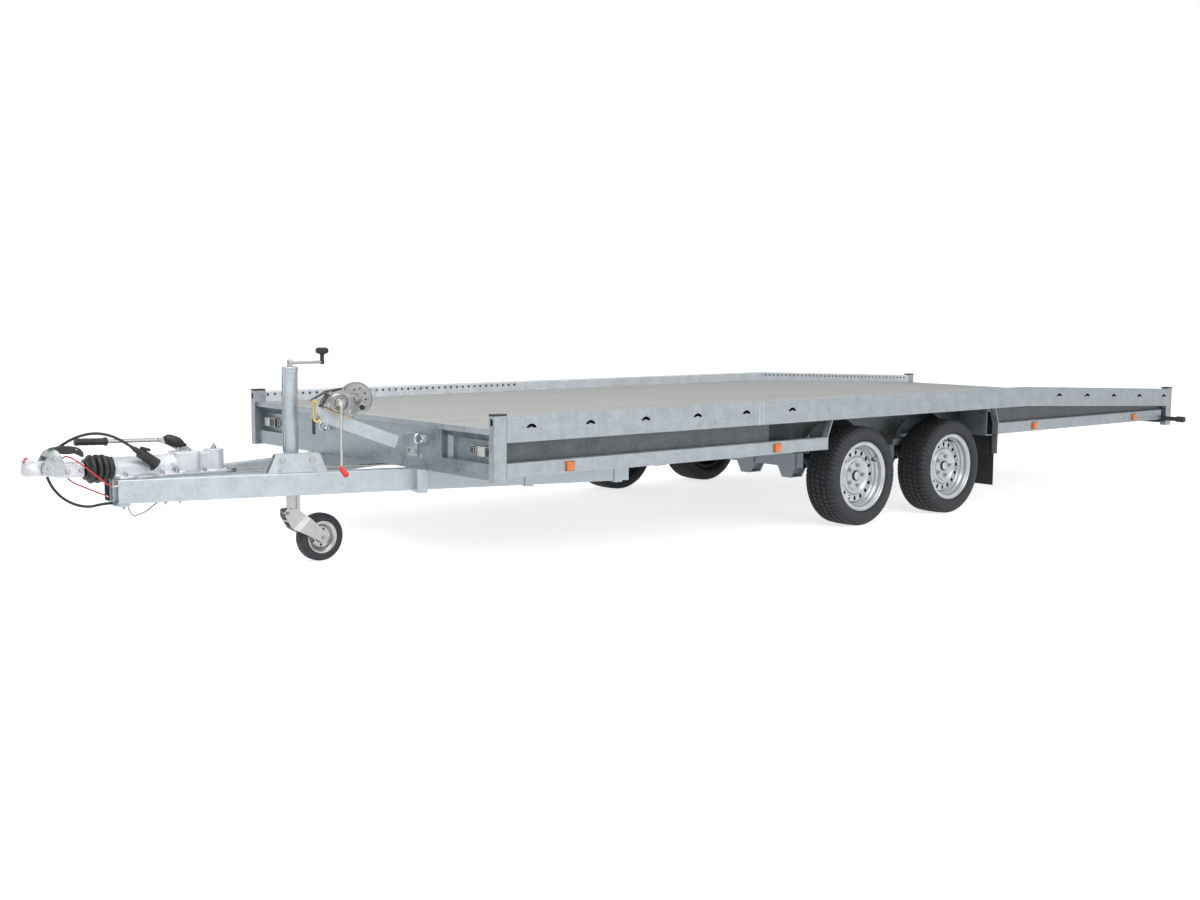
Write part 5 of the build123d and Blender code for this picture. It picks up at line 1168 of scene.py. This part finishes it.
# the strap runs 7 mm off the arm's middle, and the hook's bar 44 mm out from it
strap_out = -7.0
bar_out = strap_out + 44
hook_line = [(398, 40), (394, 14), (388, -2), (382, -20), (370, -35), (356, -34), (350, -20),
             (354, -10)]
hook_places = [on_winch(s, bar_out, up) for s, up in hook_line]
pipe(hook, bent(hook_places, 14, 5), 5.6, 14)
lathe(hook, winch_axis(398, strap_out + 30, 40), [(0, 0), (0, 12), (3, 13.5), (12, 13.5),
                                                  (15, 12), (15, 0)], 24)
lathe(hook, winch_axis(398, strap_out - 22, 40), [(0, 0), (0, 6), (66, 6), (66, 0)], 16)
pipe(hook, [on_winch(386, bar_out, 6), on_winch(366, bar_out, -4),
            on_winch(353, bar_out, -12)], 2.2, 8)
piece("winch_snap_hook", hook, "zinc_plated_steel", yellow_zinc, node="winch_hook")
tail = bmesh.new()
brick(tail, Matrix.Translation(on_winch(386, strap_out + 34, 0)), (-12, 12), (-2, 2),
      (-96, -28), 0.9)
piece("strap_tail", tail, "webbing", webbing)


# Jockey wheel: a zinc-plated tube with a crank and black knob on top, a clamp on the
# beam, and a pressed steel wheel with a solid rubber tyre in a bent fork.
jockey_x, jockey_y = 180, -452
knob = bmesh.new()
crank_end = at(jockey_x, jockey_y + 160, 887)
lathe(knob, axes_at(crank_end, upward),
      [(-9, 0), (-9, 9), (-6, 10), (10, 9.4), (28, 8.6), (33, 10), (36, 14), (38, 22),
       (42, 26), (50, 27), (58, 26), (62, 23), (64, 18), (64.6, 0)], 40)
for a in turns(12):
    lathe(knob, axes_at(crank_end + Vector((0.0255 * cos(a), 0.0255 * sin(a), 0.041)), upward),
          [(0, 0), (0, 3), (18, 3), (18, 0)], 8)
piece("jockey_knob", knob, "black_plastic", plastic, angle=40.0)
jack = bmesh.new()
lathe(jack, axes_at(at(jockey_x, jockey_y, 865), upward),
      [(0, 0), (0, 16), (4, 16), (6, 12.5), (30, 12.5), (34, 11), (36, 8), (36, 0)], 28)
pipe(jack, bent([at(jockey_x, y, z) for y, z in ((jockey_y, 887), (-300, 887), (-292, 892),
                                                 (-292, 912))], 8, 5), 6.6, 14)
piece("jockey_crank_bar", jack, "zinc_plated_steel", zinc, node="jockey_crank")
collar = bmesh.new()
lathe(collar, axes_at(at(jockey_x, jockey_y, 846), upward),
      [(0, 33.1), (0, 35), (14, 35), (16, 36.5), (20, 36.5), (23, 34), (24, 30), (24, 0),
       (22, 0), (22, 29), (0, 33.1)], 44)
for way in (-1, 1):
    brick(collar, Matrix.Translation(at(jockey_x + way * 6, -487, 640)), (-2, 2), (-2, 4),
          (-140, 200), 1.0)
lathe(collar, axes_at(at(146, -462, 852), (-1, -0.3, 0)),
      [(0, 0), (0, 6), (6, 6), (7, 4), (7, 0)], 16)
piece("jockey_tube_collar", collar, "galvanised_steel", beam_steel)

jockey_middle = (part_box("jockey_tyre")[0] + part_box("jockey_tyre")[1]) / 2


def mirrored(half):
    """A closed profile from its half on the -x side."""
    return half + [(-x, radius) for x, radius in reversed(half)] + half[:1]


disc_wheel = bmesh.new()
lathe(disc_wheel, Matrix.Translation(jockey_middle), mirrored(
    [(-31, 8.1), (-31, 19), (-29, 21), (-7, 26), (-5, 30), (-5, 44), (-9, 50), (-20, 56),
     (-24, 60), (-27, 66), (-28, 72.4), (-26, 73), (-22, 70)]), 56)
# a thin dark disc on each face stands for each of the five holes: painted shade
for a in turns(5, 0.5):
    for way in (-1, 1):
        hole = jockey_middle + Vector((way * 0.005, 0.037 * sin(a), 0.037 * cos(a)))
        lathe(disc_wheel, axes_at(hole, (way, 0, 0)),
              [(0, 0), (0, 5.5), (0.8, 5.5), (0.8, 0)], 16, 1)
piece("jockey_disc_wheel", disc_wheel, "zinc_plated_steel", zinc, painted_recess_shade,
      node="jockey_rim", body="jockey_wheel")
solid_tyre = bmesh.new()
half_tyre = [(-22, 70.4), (-26, 73.6), (-29, 75), (-30.5, 79), (-31, 90), (-29.5, 99),
             (-25, 104.5), (-18, 106.6), (-11, 107.2), (-10, 106), (-9, 107.3)]
lathe(solid_tyre, Matrix.Translation(jockey_middle),
      half_tyre + [(0, 107.5)] + mirrored(half_tyre)[len(half_tyre):], 72)
piece("jockey_solid_tyre", solid_tyre, "solid_rubber", wheel_rubber, node="jockey_tyre",
      body="jockey_wheel")
fasten("jockey_axle_nuts", nut,
       [(jockey_middle + Vector((s * 0.0425, 0, 0)), (s, 0, 0), 1.0) for s in (-1, 1)]
       + [(at(jockey_x + s * 30, -484, 228), (s, 0, 0), 0.8) for s in (-1, 1)],
       "jockey_caster")

# the beams turn out from the drawbar's point at their tip
beam_turn, beam_tip = radians(16.5), (75, -1190, 415)


def on_beam(along, across, up):
    """Place from millimetres along the near beam's outer face, inwards and up."""
    return at(*beam_tip) + Vector((sin(beam_turn) * along - cos(beam_turn) * across,
                                   cos(beam_turn) * along + sin(beam_turn) * across,
                                   up)) / 1000


beam_out = Vector((cos(beam_turn), -sin(beam_turn), 0))
clamp_s = (-476 - beam_tip[1]) / cos(beam_turn)
fasten("jockey_clamp_bolts", hexagon,
       [(on_beam(clamp_s + s, 3.5, 55), beam_out, 1.25) for s in (-66, 62)]
       + [(on_beam(clamp_s + s, 3.5, 12), beam_out, 0.7) for s in (-78, 74)])
clamp_slot = bmesh.new()
slot_frame = Matrix.Translation(on_beam(clamp_s, 4, 0)) @ Matrix(
    (Vector((sin(beam_turn), cos(beam_turn), 0)), Vector((0, 0, 1)),
     beam_out)).transposed().to_4x4()
brick(clamp_slot, slot_frame, (-72, 72), (4, 20), (-1, 2.2), 0.8)
piece("clamp_backing", clamp_slot, "galvanised_steel", beam_steel)


# Front panel fittings: lamps with a clear and a dark half, black plastic sockets, the
# forged eyes' collars, and the bolts of the winch foot and the drawbar shoes.
dark_lens = moulded("dark_lamp_lens", "#2a2c31", "#4a4d55", 0.18, 6.0)
lamps = bmesh.new()
# the clear half is towards -x on both sides
for x0, x1, mark in ((-941, -888, 1), (-996, -942, 0), (888, 941, 0), (942, 996, 1)):
    brick(lamps, upright, (x0, x1), (40, 60), (506, 550), 3.0, mark)
both_sides(lamps, (883, 1000), (52, 61), (501, 555), 2.0, 2)
both_sides(lamps, (828, 872), (46, 61), (510, 550), 3.0, 2)
both_sides(lamps, (838, 862), (42, 48), (518, 542), 2.0, 1)
piece("front_position_lamps", lamps, "clear_lens", clear_lens, dark_lens, plastic,
      node="front_lamps")
bright_zinc = plated("bright_forged_zinc", "#b4b6b8", "#cfd1d2", 0.22)
eyes = bmesh.new()
for x in (520, -305):
    eye = at(x, -9, 556)
    ring = [eye + Vector((0, 0.0205 * cos(a), 0.0205 * sin(a)))
            for a in [2 * pi * i / 32 + 0.02 for i in range(33)]]
    pipe(eyes, ring, 5.9, 14)
    lathe(eyes, axes_at(at(x, 20, 556), (0, -1, 0)),
          [(-1, 0), (-1, 17), (2, 17), (3, 15.5), (3, 12), (7, 12), (8, 9), (9.5, 7),
           (9.5, 0)], 32)
piece("forged_lashing_eyes", eyes, "zinc_plated_steel", bright_zinc, node="lashing_eyes")
strip = bmesh.new()
brick(strip, upright, (-1024, 1024), (8.5, 12.5), (607, 631.5), 1.2)
for x in (-655, 655):
    brick(strip, upright, (x - 3, x + 3), (14, 21), (484, 604), 1.0)
piece("panel_edge_strip", strip, "galvanised_steel", rail_steel)
fasten("front_bolts", hexagon,
       [(at(x, 13, 494), (0, -1, 0), 0.9) for x in (400, 460)]
       + [(on_beam((20 - beam_tip[1]) / cos(beam_turn) + 20, -60, 60), beam_out, 0.9)])
caps = bmesh.new()
# the bed falls 67 mm over its last 1675 mm, and the rear posts' tops with it
bed_length, post_top, rear_fall = 5530, 692.0, 1610.0 / 1675.0 * 67.0
for x in (-1045, 1045):
    for y, top in ((32.5, post_top), (bed_length - 32.5, post_top - rear_fall)):
        brick(caps, Matrix.Translation(at(x, y, top)), (-20.5, 20.5), (-33, 33), (-5, 4), 1.6)
piece("post_caps", caps, "black_plastic", plastic)


# Long members: folded channels that run between the cross members on both sides, in
# line with the axle saddles, and close the underside when seen from the side.
cross_ys, half_gap = (550.0, 985.0, 1500.0, 2250.0, 3010.0, 3555.0), 31
members = bmesh.new()
for y0, y1 in zip(cross_ys, cross_ys[1:]):
    ys = (y0 + half_gap, y1 - half_gap)
    both_sides(members, (640, 645), ys, (420, 612), 0.8)
    for low in (420, 607):
        both_sides(members, (640, 700), ys, (low, low + 5), 0.8)
for ys in ((2300, 2960), (3062, 3520)):
    both_sides(members, (640, 645), ys, (384, 421), 0.8)
piece("long_members", members, "galvanised_steel", under_steel)


# Rail seams: two weld beads across each upper rail where its lengths meet, ground
# nearly flat and brighter than the rail.
rail_face = 1065
seams = bmesh.new()
for y in (1590, 1618):
    both_sides(seams, (rail_face - 0.5, rail_face + 1), (y - 3.5, y + 3.5), (574, 683), 0.7)
piece("rail_seams", seams, "galvanised_steel", beam_steel)


# Mudflap holders: black moulded plastic boxes, screwed under the ends of the rear
# lower rails.
holders = bmesh.new()
both_sides(holders, (984, 1021.5), (3586, 3642), (305, 423), 4.0)
piece("mudflap_holders", holders, "black_plastic", plastic)


# Rear lamps: a black tray at each side with a red, an amber and a clear lens, a red
# reflector disc on the red one, and two screws.
trays = bmesh.new()
both_sides(trays, (790.5, 1009.5), (5492, 5524), (413, 502), 2.5, 3)
for x0, x1, mark in ((794, 836, 2), (837, 904, 1), (905, 1006, 0)):
    both_sides(trays, (x0, x1), (5520, 5529.5), (417, 498), 3.0, mark)
lens_y, lamp_z = 5529, 457.5
for side in (-1, 1):
    lathe(trays, axes_at(at(side * 955, lens_y, lamp_z), (0, 1, 0)),
          [(-2, 0), (-2, 27), (0, 27), (1, 25.5), (1, 24), (0.3, 23.5), (0.3, 0)], 36)
    for x in (800, 1000):
        lathe(trays, axes_at(at(side * x, lens_y, lamp_z), (0, 1, 0)),
              [(-2, 0), (-2, 3.6), (0.6, 3.4), (0.9, 2.4), (0.9, 0)], 12, 3)
piece("rear_combination_lamps", trays, "red_lens", red_lens, amber_lens, clear_lens, plastic,
      node="rear_lamps")


# Side markers: an amber lens with a raised field over the bulb, on a black rubber
# base that is screwed to the lower rail.
markers = bmesh.new()
for y in (405, 1720, 3941.5, 5060):
    for side in (-1, 1):
        base_frame = axes_at(at(side * rail_face, y, 456), (side, 0, 0))
        brick(markers, base_frame, (0, 4.5), (-25, 25), (-22, 22), 1.5, 1)
        brick(markers, base_frame, (3, 11), (-22, 22), (-19, 19), 3.0)
        brick(markers, base_frame, (10, 12.6), (-13, 13), (-10, 10), 1.2)
piece("amber_side_markers", markers, "amber_lens", amber_lens, rubber, node="side_markers")


# Finishes: the solids of the frame that are seen as they are get their steel,
# plywood, rubber, paint, aluminium or webbing here.
for node, finish in finish_of.items():
    frame["nodes"][node].data.materials.clear()
    frame["nodes"][node].data.materials.append(finish)
